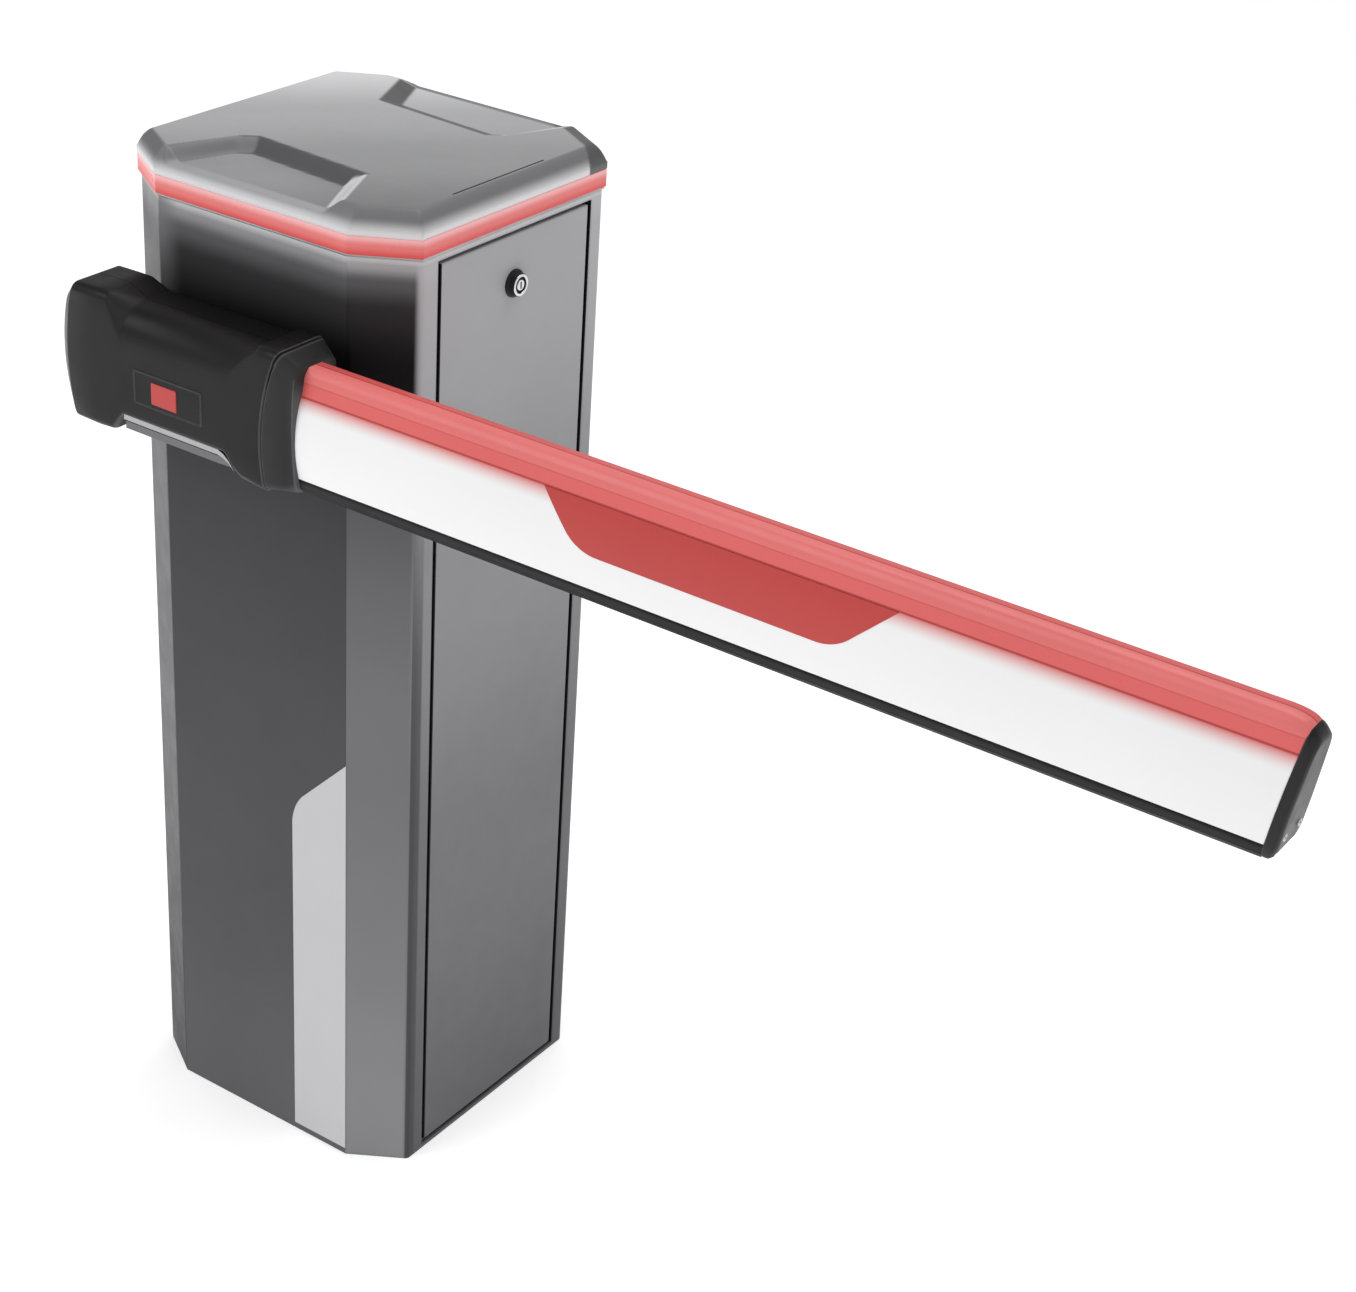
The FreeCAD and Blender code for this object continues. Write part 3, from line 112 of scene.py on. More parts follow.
class Look:
    """One procedural material, built up node by node round a Principled shader."""

    def __init__(self, name):
        self.material = bpy.data.materials.new(name)
        self.material.use_nodes = True
        self.tree = self.material.node_tree
        self.tree.nodes.clear()
        output = self.node("ShaderNodeOutputMaterial")
        self.shader = self.node("ShaderNodeBsdfPrincipled")
        self.wire(self.shader.outputs["BSDF"], output, "Surface")
        coordinates = self.node("ShaderNodeTexCoord")
        self.place = coordinates.outputs["Object"]
        self.x, self.y, self.z = self.split(self.place)
        self.facing = coordinates.outputs["Normal"]

    def node(self, kind, **settings):
        made = self.tree.nodes.new(kind)
        for key, value in settings.items():
            setattr(made, key, value)
        return made

    def split(self, socket):
        made = self.node("ShaderNodeSeparateXYZ")
        self.wire(socket, made, "Vector")
        return [made.outputs[letter] for letter in "XYZ"]

    def wire(self, socket, target, into):
        self.tree.links.new(socket, target.inputs[into])

    def feed(self, value, socket):
        """Puts a constant or another node's output into a socket."""
        if isinstance(value, bpy.types.NodeSocket):
            self.tree.links.new(value, socket)
        else:
            socket.default_value = value

    def noise(self, scale, detail=4.0, rough=0.55, stretch=None):
        place = self.place
        if stretch:
            mapping = self.node("ShaderNodeMapping")
            mapping.inputs["Scale"].default_value = stretch
            self.wire(place, mapping, "Vector")
            place = mapping.outputs["Vector"]
        made = self.node("ShaderNodeTexNoise")
        made.inputs["Scale"].default_value = scale
        made.inputs["Detail"].default_value = detail
        made.inputs["Roughness"].default_value = rough
        self.wire(place, made, "Vector")
        return made.outputs["Fac"]

    def spread(self, socket, low, high, to_low=0.0, to_high=1.0, smooth=False):
        made = self.node("ShaderNodeMapRange", interpolation_type="SMOOTHSTEP" if smooth else "LINEAR")
        for key, value in (("From Min", low), ("From Max", high), ("To Min", to_low), ("To Max", to_high)):
            made.inputs[key].default_value = value
        self.wire(socket, made, "Value")
        return made.outputs["Result"]

    def math(self, operation, *values):
        made = self.node("ShaderNodeMath", operation=operation)
        for place, value in enumerate(values):
            self.feed(value, made.inputs[place])
        return made.outputs["Value"]

    def mix(self, share, first, second, blend="MIX"):
        made = self.node("ShaderNodeMix", data_type="RGBA", blend_type=blend)
        self.feed(share, next(s for s in made.inputs if s.name == "Factor" and s.type == "VALUE"))
        self.feed(first, next(s for s in made.inputs if s.name == "A" and s.type == "RGBA"))
        self.feed(second, next(s for s in made.inputs if s.name == "B" and s.type == "RGBA"))
        return next(s for s in made.outputs if s.type == "RGBA")

    def ramp(self, socket, stops):
        """Tone along a socket's value; stops are (value, colour), in rising order."""
        first, last = stops[0][0], stops[-1][0]
        made = self.node("ShaderNodeValToRGB")
        made.color_ramp.interpolation = "EASE"
        elements = made.color_ramp.elements
        while len(elements) < len(stops):
            elements.new(0.5)
        for element, (spot, colour) in zip(elements, stops):
            element.position = (spot - first) / (last - first)
            element.color = colour
        self.wire(self.spread(socket, first, last), made, "Fac")
        return made.outputs["Color"]

    def mottled(self, tone, scale=6.0, amount=0.06):
        """The tone, slightly darker and lighter in slow patches."""
        share = self.spread(self.noise(scale, 5.0), 0.3, 0.7, 1 - amount, 1 + amount)
        patch = self.node("ShaderNodeCombineColor")
        for channel in ("Red", "Green", "Blue"):
            self.wire(share, patch, channel)
        return self.mix(1.0, tone, patch.outputs["Color"], "MULTIPLY")

    def colour(self, tone):
        self.feed(tone, self.shader.inputs["Base Color"])

    def gloss(self, roughness, spread=0.06, scale=40.0):
        self.wire(self.spread(self.noise(scale, 6.0), 0.3, 0.7, roughness - spread, roughness + spread),
                  self.shader, "Roughness")

    def bumps(self, socket, depth, soft_edge=0.0):
        """Surface relief, over edges that are softened by a small radius."""
        bump = self.node("ShaderNodeBump")
        bump.inputs["Distance"].default_value = depth
        self.wire(socket, bump, "Height")
        if soft_edge:
            edge = self.node("ShaderNodeBevel", samples=8)
            edge.inputs["Radius"].default_value = soft_edge
            self.wire(edge.outputs["Normal"], bump, "Normal")
        self.wire(bump.outputs["Normal"], self.shader, "Normal")

    def edges(self, radius):
        """Share of an edge, from how far a rounded normal leaves the true one."""
        rounded = self.node("ShaderNodeBevel", samples=8)
        rounded.inputs["Radius"].default_value = radius
        product = self.node("ShaderNodeVectorMath", operation="DOT_PRODUCT")
        self.wire(rounded.outputs["Normal"], product, 0)
        self.wire(self.node("ShaderNodeNewGeometry").outputs["Normal"], product, 1)
        return self.spread(product.outputs["Value"], 0.995, 0.93)

    def on(self, *things):
        """Gives nodes or pieces this material."""
        for thing in things:
            target = NODES[thing] if isinstance(thing, str) else thing
            target.data.materials.clear()
            target.data.materials.append(self.material)
        return self


def painted(name, colour, roughness=0.45, mottle=0.06, grain=900, depth=0.04 * MM, soft_edge=1.2 * MM,
            metal=0.0, specular=0.35):
    """Powder coat or moulded plastic: fine grain, slow mottling, uneven gloss and soft edges."""
    look = Look(name)
    look.colour(look.mottled(colour, amount=mottle))
    look.gloss(roughness)
    look.shader.inputs["Metallic"].default_value = metal
    look.shader.inputs["Specular IOR Level"].default_value = specular
    look.bumps(look.noise(grain, 2.0), depth, soft_edge)
    return look


def brushed(name, colour, roughness=0.35, direction=(1, 60, 1)):
    """Bare or plated metal with fine drawn lines."""
    look = Look(name)
    lines = look.noise(60.0, 3.0, 0.6, stretch=direction)
    look.colour(look.mix(look.spread(lines, 0.3, 0.7), tint(colour, 0.85), tint(colour, 1.1)))
    look.shader.inputs["Metallic"].default_value = 1.0
    look.wire(look.spread(lines, 0.3, 0.7, roughness - 0.08, roughness + 0.1), look.shader, "Roughness")
    look.bumps(lines, 0.02 * MM, 0.6 * MM)
    return look


# Painted light and shade for the door side: lighter at the top, darker towards the foot.
DOOR_SHADE_TONES = [(0.0, grey(88)), (0.35, grey(110)), (0.7, grey(141)), (1.025, grey(168))]


def door_gap_shade(look, tone, reach):
    """Darkens the faces inside the upright gaps beside the door, and their edges over a short reach."""
    side = look.math("ABSOLUTE", look.split(look.facing)[1])
    inner = look.math("MULTIPLY", look.spread(side, 0.8, 0.9), look.spread(look.x, 0.150, 0.152))
    dark = look.math("MULTIPLY", inner, look.spread(look.y, -0.128, -0.126))
    middle_z, half_height = (DOOR_LOW + DOOR_TOP) / 2, (DOOR_TOP - DOOR_LOW) / 2
    tall = look.math("COMPARE", look.z, middle_z * MM, (half_height + DOOR_GAP) * MM)
    tall = look.math("MULTIPLY", tall, look.spread(look.x, 0.150, 0.152))
    for edge, way in zip(DOOR_EDGES, (-1, 1)):
        middle = edge + way * DOOR_GAP / 2
        near = look.math("COMPARE", look.y, middle * MM, (DOOR_GAP / 2 + reach) * MM)
        dark = look.math("MAXIMUM", dark, look.math("MULTIPLY", near, tall))
    return look.mix(dark, tone, grey(14))


def shell_look():
    """Grey cabinet paint with painted light and shade: own tones for both front chamfers, the door side and
    the rest.

    The right front chamfer runs into painted near-black shade at the head, and every tone comes back up to
    a painted highlight at the rim. The door side is painted lighter at the top, the left chamfer darker at
    its foot, and the lower corner beside the door carries a painted shade."""
    look = painted("shell_paint", grey(110), roughness=0.42, soft_edge=7 * MM, specular=0.12)
    # painted shade and painted highlights along the height of each face
    left = look.ramp(look.z, [(0.0, grey(44)), (0.5, grey(95)), (0.86, grey(101)), (1.0, grey(104)),
                              (1.028, grey(144)), (1.0365, grey(216))])
    plain = look.ramp(look.z, [(0.0, grey(86)), (0.5, grey(97)), (0.86, grey(101)), (1.0, grey(104)),
                               (1.028, grey(144)), (1.0365, grey(216))])
    right = look.ramp(look.z, [(0.0, grey(136)), (0.55, grey(116)), (0.80, grey(99)), (0.88, grey(12)),
                               (0.925, grey(13)), (0.985, grey(46)), (1.012, grey(90)), (1.028, grey(168)),
                               (1.0365, grey(232))])
    side = look.ramp(look.z, DOOR_SHADE_TONES[:-1] + [(1.0, grey(176)), (1.028, grey(186)), (1.0365, grey(228))])
    # painted shade on the rounded lower corner between the right chamfer and the door side
    corner = look.math("MULTIPLY", look.spread(look.x, 0.1715, 0.1725, smooth=True),
                       look.spread(look.y, -0.131, -0.127, 1.0, 0.0, smooth=True))
    corner = look.math("MULTIPLY", corner, look.spread(look.z, 0.55, 0.9, 0.75, 0.0, smooth=True))
    tone = look.mix(look.spread(look.x, -0.01, 0.01), left, right)
    tone = look.mix(look.spread(look.y, -0.1395, -0.134, smooth=True), tone, plain)
    rear = look.math("MULTIPLY", look.spread(look.y, 0.128, 0.136, smooth=True),
                     look.spread(look.x, 0.1740, 0.1749, 1.0, 0.0))
    tone = look.mix(look.spread(look.x, 0.1690, 0.1748, smooth=True), tone, side)
    tone = look.mix(rear, tone, plain)
    tone = look.mix(corner, tone, grey(60))
    look.colour(look.mottled(door_gap_shade(look, tone, 0.7), amount=0.04))
    return look


def panel_look():
    """Darker front panel, lighter at its foot, with the same painted near-black shade at the head, paling
    along its left edge, and a painted highlight along its top.
    """
    look = painted("panel_paint", grey(80), roughness=0.46, soft_edge=1.0 * MM, specular=0.08)
    tone = look.ramp(look.z, [(0.0, grey(94)), (0.35, grey(81)), (0.80, grey(68)), (0.88, grey(15)),
                              (0.93, grey(20)), (0.985, grey(52)), (1.010, grey(92)), (1.026, grey(150)),
                              (1.0345, grey(210))])
    # the painted shade at the head pales along the panel's left edge
    edge = look.math("MULTIPLY", look.spread(look.x, -0.117, -0.088, 1.0, 0.0, smooth=True),
                     look.spread(look.z, 0.86, 1.0, 0.0, 0.75))
    look.colour(look.mottled(look.mix(edge, tone, grey(120)), amount=0.05))
    return look


def door_look():
    look = painted("door_paint", grey(130), roughness=0.42, soft_edge=2.5 * MM, specular=0.25)
    # painted shade: the door is lighter at the top and darker at its foot, with painted shade in and beside
    # its gaps
    look.colour(look.mottled(door_gap_shade(look, look.ramp(look.z, DOOR_SHADE_TONES), 0.9), amount=0.035))
    return look


def lit_lens(name, tone_of, glow):
    """Translucent red cover lit from inside; tone_of(look) gives its colour."""
    look = Look(name)
    tone = look.mottled(tone_of(look), scale=9.0, amount=0.02)
    look.colour(tone)
    look.wire(tone, look.shader, "Emission Color")
    look.shader.inputs["Emission Strength"].default_value = glow
    look.shader.inputs["Specular IOR Level"].default_value = 0.3
    look.gloss(0.3)
    look.bumps(look.noise(300.0, 2.0), 0.03 * MM, 1.5 * MM)
    return look


def crown_lens_tone(look):
    """Deep red at the foot, with a painted highlight that pales it to pink under the lid."""
    middle = LENS_LOW + 9
    return look.ramp(look.z, [(LENS_LOW * MM, srgb(212, 72, 70)), (middle * MM, srgb(222, 116, 114)),
                              (LENS_TOP * MM, srgb(240, 178, 178))])


def arm_lens_tone(look):
    """Red, a little paler above its middle seam, with dark seams at its foot and along its flat top."""
    low, high = srgb(214, 98, 96), srgb(218, 112, 110)
    tone = look.mix(look.spread(look.z, (ARM_TOP + 13.5) * MM, (ARM_TOP + 14.5) * MM), low, high)
    rear = look.spread(look.y, (ARM_Y + 1) * MM, (ARM_Y + 2) * MM)
    tone = look.mix(rear, tone, srgb(208, 88, 86))
    for socket, spot, half, depth in ((look.z, ARM_TOP + 0.9, 0.9, 0.75), (look.z, ARM_TOP + 14, 0.6, 0.3),
                                      (look.y, ARM_Y + 0.8, 0.9, 0.75)):
        near = look.math("COMPARE", socket, spot * MM, half * MM)
        tone = look.mix(look.math("MULTIPLY", near, depth), tone, srgb(160, 40, 40))
    return tone


def bumper_look():
    """Dark rubber with a black line where it meets the arm and a paler drawn ridge below."""
    look = painted("bumper_rubber", grey(40), roughness=0.55, depth=0.08 * MM, specular=0.15)
    tone = look.ramp(look.z, [(BUMPER_LOW * MM, grey(24)), ((BUMPER_LOW + 4) * MM, grey(34)),
                              ((BUMPER_LOW + 8) * MM, grey(52)), ((ARM_FOOT - 3.5) * MM, grey(44)),
                              ((ARM_FOOT - 2.2) * MM, grey(9)), (ARM_FOOT * MM, grey(6))])
    streaks = look.spread(look.noise(30.0, 3.0, stretch=(1, 40, 40)), 0.3, 0.7)
    look.colour(look.mix(look.math("MULTIPLY", streaks, 0.45), tone, grey(16)))
    return look


def arm_look():
    """White lacquer with a painted red glow from the lens along its upper edge."""
    look = painted("arm_white", srgb(238, 238, 238), roughness=0.35, mottle=0.015, soft_edge=2.0 * MM,
                   specular=0.3)
    glow = look.spread(look.z, (ARM_TOP - 15) * MM, ARM_TOP * MM)
    soft = look.math("POWER", glow, 1.5)
    look.colour(look.mottled(look.mix(soft, srgb(243, 243, 243), srgb(220, 118, 116)), amount=0.015))
    return look


# ---------------------------------------------------------------- meshes

def new_piece(name, shape, body, look, replaced=(), sharp_degrees=35):
    """A bmesh shape, given in millimetres, as a piece that rides on a body and stands for CAD nodes."""
    mesh = bpy.data.meshes.new(name)
    bmesh.ops.scale(shape, vec=(MM, MM, MM), verts=shape.verts)
    bmesh.ops.recalc_face_normals(shape, faces=shape.faces)
    shape.to_mesh(mesh)
    shape.free()
    mesh.shade_smooth()
    mesh.set_sharp_from_angle(angle=math.radians(sharp_degrees))
    piece = bpy.data.objects.new(name, mesh)
    bpy.context.scene.collection.objects.link(piece)
    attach(piece, body)
    if replaced:
        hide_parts(*replaced)
    look.on(piece)
    return piece


def loft(rings, close_start=True, close_end=True):
    """A skin through rings of equally many points, its ends closed by fans."""
    shape = bmesh.new()
    rows = [[shape.verts.new(point) for point in ring] for ring in rings]
    for first, second in zip(rows, rows[1:]):
        for i in range(len(first)):
            j = (i + 1) % len(first)
            shape.faces.new((first[i], first[j], second[j], second[i]))
    for row, wanted in ((rows[0], close_start), (rows[-1], close_end)):
        if wanted:
            middle = shape.verts.new(sum((v.co for v in row), Vector()) / len(row))
            for i in range(len(row)):
                shape.faces.new((row[i], row[(i + 1) % len(row)], middle))
    return shape


def between(value, table):
    """Straight interpolation in a table of (at, value) pairs, held beyond its ends."""
    if value <= table[0][0]:
        return table[0][1]
    for (low, first), (high, second) in zip(table, table[1:]):
        if value <= high:
            return first + (second - first) * (value - low) / (high - low)
    return table[-1][1]


def section(front, back, low, high, top_radius, radius, steps=7, along=9):
    """Rounded rectangle in the y-z plane; the front top corner has its own radius."""
    corners = [(front, high, top_radius, 90, 1, -1), (front, low, radius, 180, 1, 1),
               (back, low, radius, 270, -1, 1), (back, high, radius, 0, -1, -1)]
    arcs = []
    for y, z, r, start, out_y, out_z in corners:
        middle_y, middle_z = y + out_y * r, z + out_z * r
        angles = [math.radians(start + 90 * i / steps) for i in range(steps + 1)]
        arcs.append([(middle_y + r * math.cos(angle), middle_z + r * math.sin(angle)) for angle in angles])
    points = []
    for i, arc in enumerate(arcs):
        points += arc
        ahead = arcs[(i + 1) % 4][0]
        points += [(arc[-1][0] + (ahead[0] - arc[-1][0]) * k / along,
                    arc[-1][1] + (ahead[1] - arc[-1][1]) * k / along) for k in range(1, along)]
    return points


def block(centre, size):
    """A plain rectangular solid, given by its middle and its three sizes."""
    shape = bmesh.new()
    bmesh.ops.create_cube(shape, size=1)
    stand = Matrix.Translation(centre) @ Matrix.Diagonal((*size, 1))
    bmesh.ops.transform(shape, matrix=stand, verts=shape.verts)
    return shape


def ring_at(place, *outline):
    """A section stood at x = place(z)."""
    return [(place(z), y, z) for y, z in section(*outline)]


def shrunk(ring, share, shift):
    """A ring drawn in towards the hub's middle line, and moved along x."""
    middle_y, middle_z = HUB_MIDDLE
    return [(x + shift, middle_y + (y - middle_y) * share, middle_z + (z - middle_z) * share)
            for x, y, z in ring]


# ---------------------------------------------------------------- hub

def hub_look(name, base, edge):
    """Black moulded plastic, with painted highlights on its edges and where it is turned to either end, and
    painted shade on its upward faces.
    """
    look = painted(name, grey(base), roughness=0.4, grain=1400, depth=0.05 * MM, soft_edge=1.5 * MM,
                   specular=0.2)
    turned_x, _, turned_z = look.split(look.facing)
    share = look.spread(look.math("ABSOLUTE", turned_x), 0.15, 0.6, smooth=True)
    top = look.math("MULTIPLY", look.spread(turned_z, 0.5, 0.95, 1.0, 0.35),
                    look.spread(look.z, 0.918, 0.942, 1.0, 0.2, smooth=True))
    tone = look.mix(look.spread(turned_z, 0.3, 0.9, smooth=True), grey(base), grey(base * 0.4))
    tone = look.mix(look.math("MULTIPLY", share, top), tone, grey(edge))
    tone = look.mix(look.math("MULTIPLY", look.edges(2.2 * MM), 0.55), tone, grey(edge * 1.5))
    look.colour(look.mottled(tone))
    return look


def rounded_sheet(outline, back, front, radius):
    """Rings of a flat plate with rounded corners and a 0.5 mm bevel round its front."""
    left, right, low, high = outline
    bevel = 0.5
    corners = ((right - radius, high - radius, 0), (left + radius, high - radius, 90),
               (left + radius, low + radius, 180), (right - radius, low + radius, 270))
    rings = []
    for y, tuck in ((back, 0.0), (front + bevel, 0.0), (front, bevel)):
        reach = radius - tuck
        ring = []
        for x, z, start in corners:
            for i in range(6):
                angle = math.radians(start + 18 * i)
                ring.append((x + reach * math.cos(angle), y, z + reach * math.sin(angle)))
        rings.append(ring)
    return rings


def badge(plate_look, mark_look):
    """A shallow plate with a raised lip, and a plain square mark on it."""
    lip = rounded_sheet(BADGE, HUB_FRONT + 2, HUB_FRONT - 0.7, 2.5)
    middle_z = (BADGE[2] + BADGE[3]) / 2
    well = [(x * 0.972 - 0.66, HUB_FRONT - 0.7, middle_z + (z - middle_z) * 0.93) for x, y, z in lip[-1]]
    floor = [(x * 0.995 - 0.1, HUB_FRONT - 0.1, middle_z + (z - middle_z) * 0.985) for x, y, z in well]
    new_piece("hub_badge_well", loft(lip + [well, floor]), "arm", plate_look, ["hub_badge_plate"], 30)
    mark = rounded_sheet(MARK, HUB_FRONT + 1, HUB_FRONT - 0.9, 1.2)
    new_piece("hub_badge_square", loft(mark), "arm", mark_look, ["hub_badge_mark"], 30)


def bowed(x, bow, height=893, half=70):
    """A place along x that swings out by bow at the section's top and bottom."""
    return lambda z: x + bow * ((z - height) / half) ** 2


def stepped(low, middle, high):
    """A place along x given low on the section, at its mid height and at its top."""
    return lambda z: between(z, [(832, low), (850, middle), (922, middle), (957, high)])


def seam(offset):
    """The curved joint between the hub cover and the collar."""
    return lambda z: 91 + 17.5 * ((z - 870) / 85) ** 2 + offset


def hub(look, collar_look):
    """The bone-shaped cover, cut into a front and a rear half, and the collar at its right end."""
    front, back = HUB_FRONT, HUB_BACK
    end = ring_at(bowed(-170, 13), front + 13, back - 13, 840, 951, 14, 14)
    rings = [shrunk(end, share, shift) for share, shift in ((0.15, -0.6), (0.6, -0.4), (0.95, -0.2))]
    rings = [*rings,
             end,
             ring_at(bowed(-168.5, 12.5), front + 11, back - 11, 837.5, 953.5, 13, 13),
             ring_at(bowed(-154, 9.5), front + 0.6, back - 1, 828, 963.5, 9, 9),
             ring_at(bowed(-152.5, 9), front, back, 826.5, 965, 8, 8),
             ring_at(bowed(-120, 2), front, back, 825, 966, 9, 9),
             ring_at(stepped(-101, -101, -101), front, back, 826, 966, 9, 9),
             ring_at(stepped(-98, -98, -99), front, back, 827, 965, 10, 9),
             ring_at(stepped(-86, -85, -81), front, back, 845, 957, 31, 6),
             ring_at(stepped(-83, -82, -78), front, back, 847, 956, 33, 5),
             ring_at(stepped(-30, -25, -10), front, back, 847, 956, 33, 5),
             ring_at(stepped(34, 44, 76), front, back, 847, 957, 33, 5),
             ring_at(stepped(42, 48, 79), front, back, 844.5, 958, 30, 6),
             ring_at(stepped(49, 53, 84), front, back, 839, 961, 16, 7),
             ring_at(stepped(56, 57, 87), front, back, 832, 964, 10, 8),
             ring_at(stepped(66, 66, 91), front, back, 825, 965, 9, 9),
             ring_at(seam(-6), front, back, 821.5, 965, 9, 10),
             ring_at(seam(-1.2), front + 0.3, back, 821.5, 964.5, 9, 10),
             ring_at(seam(0.2), front + 2.2, back - 2, 824, 962, 9, 10)]
    half_gap = 0.25
    halves = (("hub_front_shell", 1, "hub_cover_front"), ("hub_rear_shell", -1, "hub_cover_rear"))
    for name, side, replaced in halves:
        shape = loft(rings)
        bmesh.ops.bisect_plane(shape, geom=shape.verts[:] + shape.edges[:] + shape.faces[:],
                               plane_co=(0, ARM_Y + 2 - side * half_gap, 0), plane_no=(0, side, 0),
                               clear_outer=True)
        new_piece(name, shape, "arm", look, [replaced])
    collar_rings = [ring_at(seam(0.8), front + 3, back - 3, 825, 961, 9, 10),
                    ring_at(seam(1.4), front + 1.0, back - 1, 823, 963, 9, 10),
                    ring_at(seam(3.5), front + 0.2, back - 1, 823, 963, 10, 10),
                    ring_at(bowed(122, 4, 892, 60), front + 4.5, back - 3, 827, 954, 10, 12),
                    ring_at(bowed(125.5, 4, 892, 60), front + 5.5, back - 4, 829, 951.5, 10, 12),
                    ring_at(bowed(126.5, 4, 892, 60), front + 7, back - 6, 831, 950, 9, 12)]
    new_piece("hub_collar_shell", loft(collar_rings), "arm", collar_look, ["hub_collar"])


def arm_end_x(z):
    """Where the arm's leaning end stands at a height."""
    return ARM_END + ARM_LEAN * (z - BUMPER_LOW)


def lowered(z, drop):
    """A height on the arm's light cover or cap, pulled down by a drop that is full at the top."""
    return z - drop * max(0.0, z - ARM_TOP) / (ARM_LENS_TOP - ARM_TOP)


def both_sides(half):
    """The whole (y, z) outline, from half of it: (distance from the arm's mid plane, height) upwards."""
    return [(ARM_Y - out, z) for out, z in half] + [(ARM_Y + out, z) for out, z in reversed(half)]


def arm_lens(look):
    """The light cover, its top rounded down towards the arm's leaning end."""
    outline = both_sides([(18, ARM_TOP), (16.2, 933), (14.8, 941.4), (14.0, 944), (10.2, 948.9),
                          (8.2, ARM_LENS_TOP)])
    rings = [[(ARM_START, y, z) for y, z in outline]]
    for offset, drop in ((-24, 0.0), (-17, 0.4), (-11, 1.2), (-6, 2.5), (-2.5, 4.2), (-0.1, 6.0)):
        rings.append([(arm_end_x(z) + offset, y, lowered(z, drop)) for y, z in outline])
    new_piece("arm_lens_cover", loft(rings), "arm", look, ["arm_lens"], 30)


def end_cap(look, screw_look):
    """Leaning plate over the arm's end, with rounded corners and a bevelled rim, and its two screws."""
    outline = both_sides([(12.0, BUMPER_LOW - 0.6), (17.5, BUMPER_LOW + 1), (21.5, BUMPER_LOW + 4.5),
                          (23.6, ARM_FOOT), (24.2, 870), (22.4, 896), (18.6, ARM_TOP), (16.4, 936),
                          (14.6, 943.5), (10.5, 949.4), (6.0, ARM_LENS_TOP + 0.5)])
    middle_z = 888
    rings = []
    steps = ((0, 6.0, 6.0), (0, 0.4, 6.0), (3, 0, 7.5), (6, 0, 10), (CAP_THICK - 2.4, 0, 13),
             (CAP_THICK - 0.8, 0.8, 15), (CAP_THICK - 0.1, 2.4, 16.5), (CAP_THICK - 0.1, 8.0, 17))
    for offset, inset, drop in steps:
        ring = []
        for y, z in outline:
            away_y, away_z = y - ARM_Y, z - middle_z
            share = 1 - inset / math.hypot(away_y, away_z)
            z = lowered(middle_z + away_z * share, drop)
            foot = smooth((BUMPER_LOW + 10 - z) / 10) * 4.5 * offset / CAP_THICK
            ring.append((arm_end_x(z) + offset - foot, ARM_Y + away_y * share, z))
        rings.append(ring)
    new_piece("arm_end_plate", loft(rings), "arm", look, ["arm_end_cap"], 40)
    face = arm_end_x(CAP_SCREW_Z) + CAP_THICK
    head = [(face - 3, 3.4), (face + 0.2, 3.4), (face + 0.7, 2.8), (face + 0.7, 1.6), (face - 0.4, 1.4)]
    for name, side in (("near", -1), ("far", 1)):
        shape = turned(head, (ARM_Y + side * CAP_SCREW_Y, CAP_SCREW_Z))
        new_piece("end_screw_" + name, shape, "arm", screw_look, ["end_cap_screws"])


def hub_trim(lit_trim_look, shaded_trim_look, shadow_look):
    """Strips that line the notch under the waist and turn down at its right end: a lit copy of the trim
    metal above, a shaded copy below, over a dark strip that stands for the shade between and behind them.
    """
    # painted light and shade: the upper strip is a lit copy of the trim metal, the lower a shaded copy, and
    # the dark strip stands for shade
    strips = (("upper", 0.4, -4.6, -263.5, lit_trim_look), ("lower", -7.4, -14.6, -261.0, shaded_trim_look),
              ("notch_shade", 0.0, -13.0, -258.5, shadow_look))
    line = [(-84, 847), (36, 847), (43, 844.5), (50, 839), (56, 832)]
    back = -206
    for name, upper, lower, front, look in strips:
        rings = []
        for i, (x, z) in enumerate(line):
            fade = min(1.0, (len(line) - 1 - i) / 2.5)
            top, foot = z + upper * fade, z + lower * fade - 0.4
            rings.append([(x, front, top), (x, front, foot), (x, front + 3, foot - 0.5),
                          (x, back, foot - 0.5), (x, back, top)])
        new_piece("hub_trim_" + name, loft(rings), "arm", look, ["hub_trim"], 20)


# ---------------------------------------------------------------- lid

BROW = [(-124, -172), (-90, -89), (-75, -77), (71, -89), (108, -172)]
SCOOP = [(-104, -172), (-82, -107), (-68, -97), (52, -107), (84, -172)]


def inside_depth(x, y, line):
    """Distance from a point to an open outline that runs clockwise; positive on its inner side."""
    nearest, sign = 1e9, 1
    for (x0, y0), (x1, y1) in zip(line, line[1:]):
        run_x, run_y = x1 - x0, y1 - y0
        share = max(0.0, min(1.0, ((x - x0) * run_x + (y - y0) * run_y) / (run_x ** 2 + run_y ** 2)))
        off_x, off_y = x - x0 - share * run_x, y - y0 - share * run_y
        away = math.hypot(off_x, off_y)
        if away < nearest:
            nearest = away
            sign = 1 if run_x * (y - y0) - run_y * (x - x0) < 0 else -1
    return sign * nearest


def smooth(share):
    share = max(0.0, min(1.0, share))
    return share * share * (3 - 2 * share)


def scoop_wall(x, y):
    """How far down into a hand-hold a point lies: 0 on the top, 1 on the hold's floor."""
    brow, floor = inside_depth(x, y, BROW), inside_depth(x, y, SCOOP)
    if brow <= 0:
        return 0.0
    if floor >= 0:
        return 1.0
    return brow / (brow - floor)


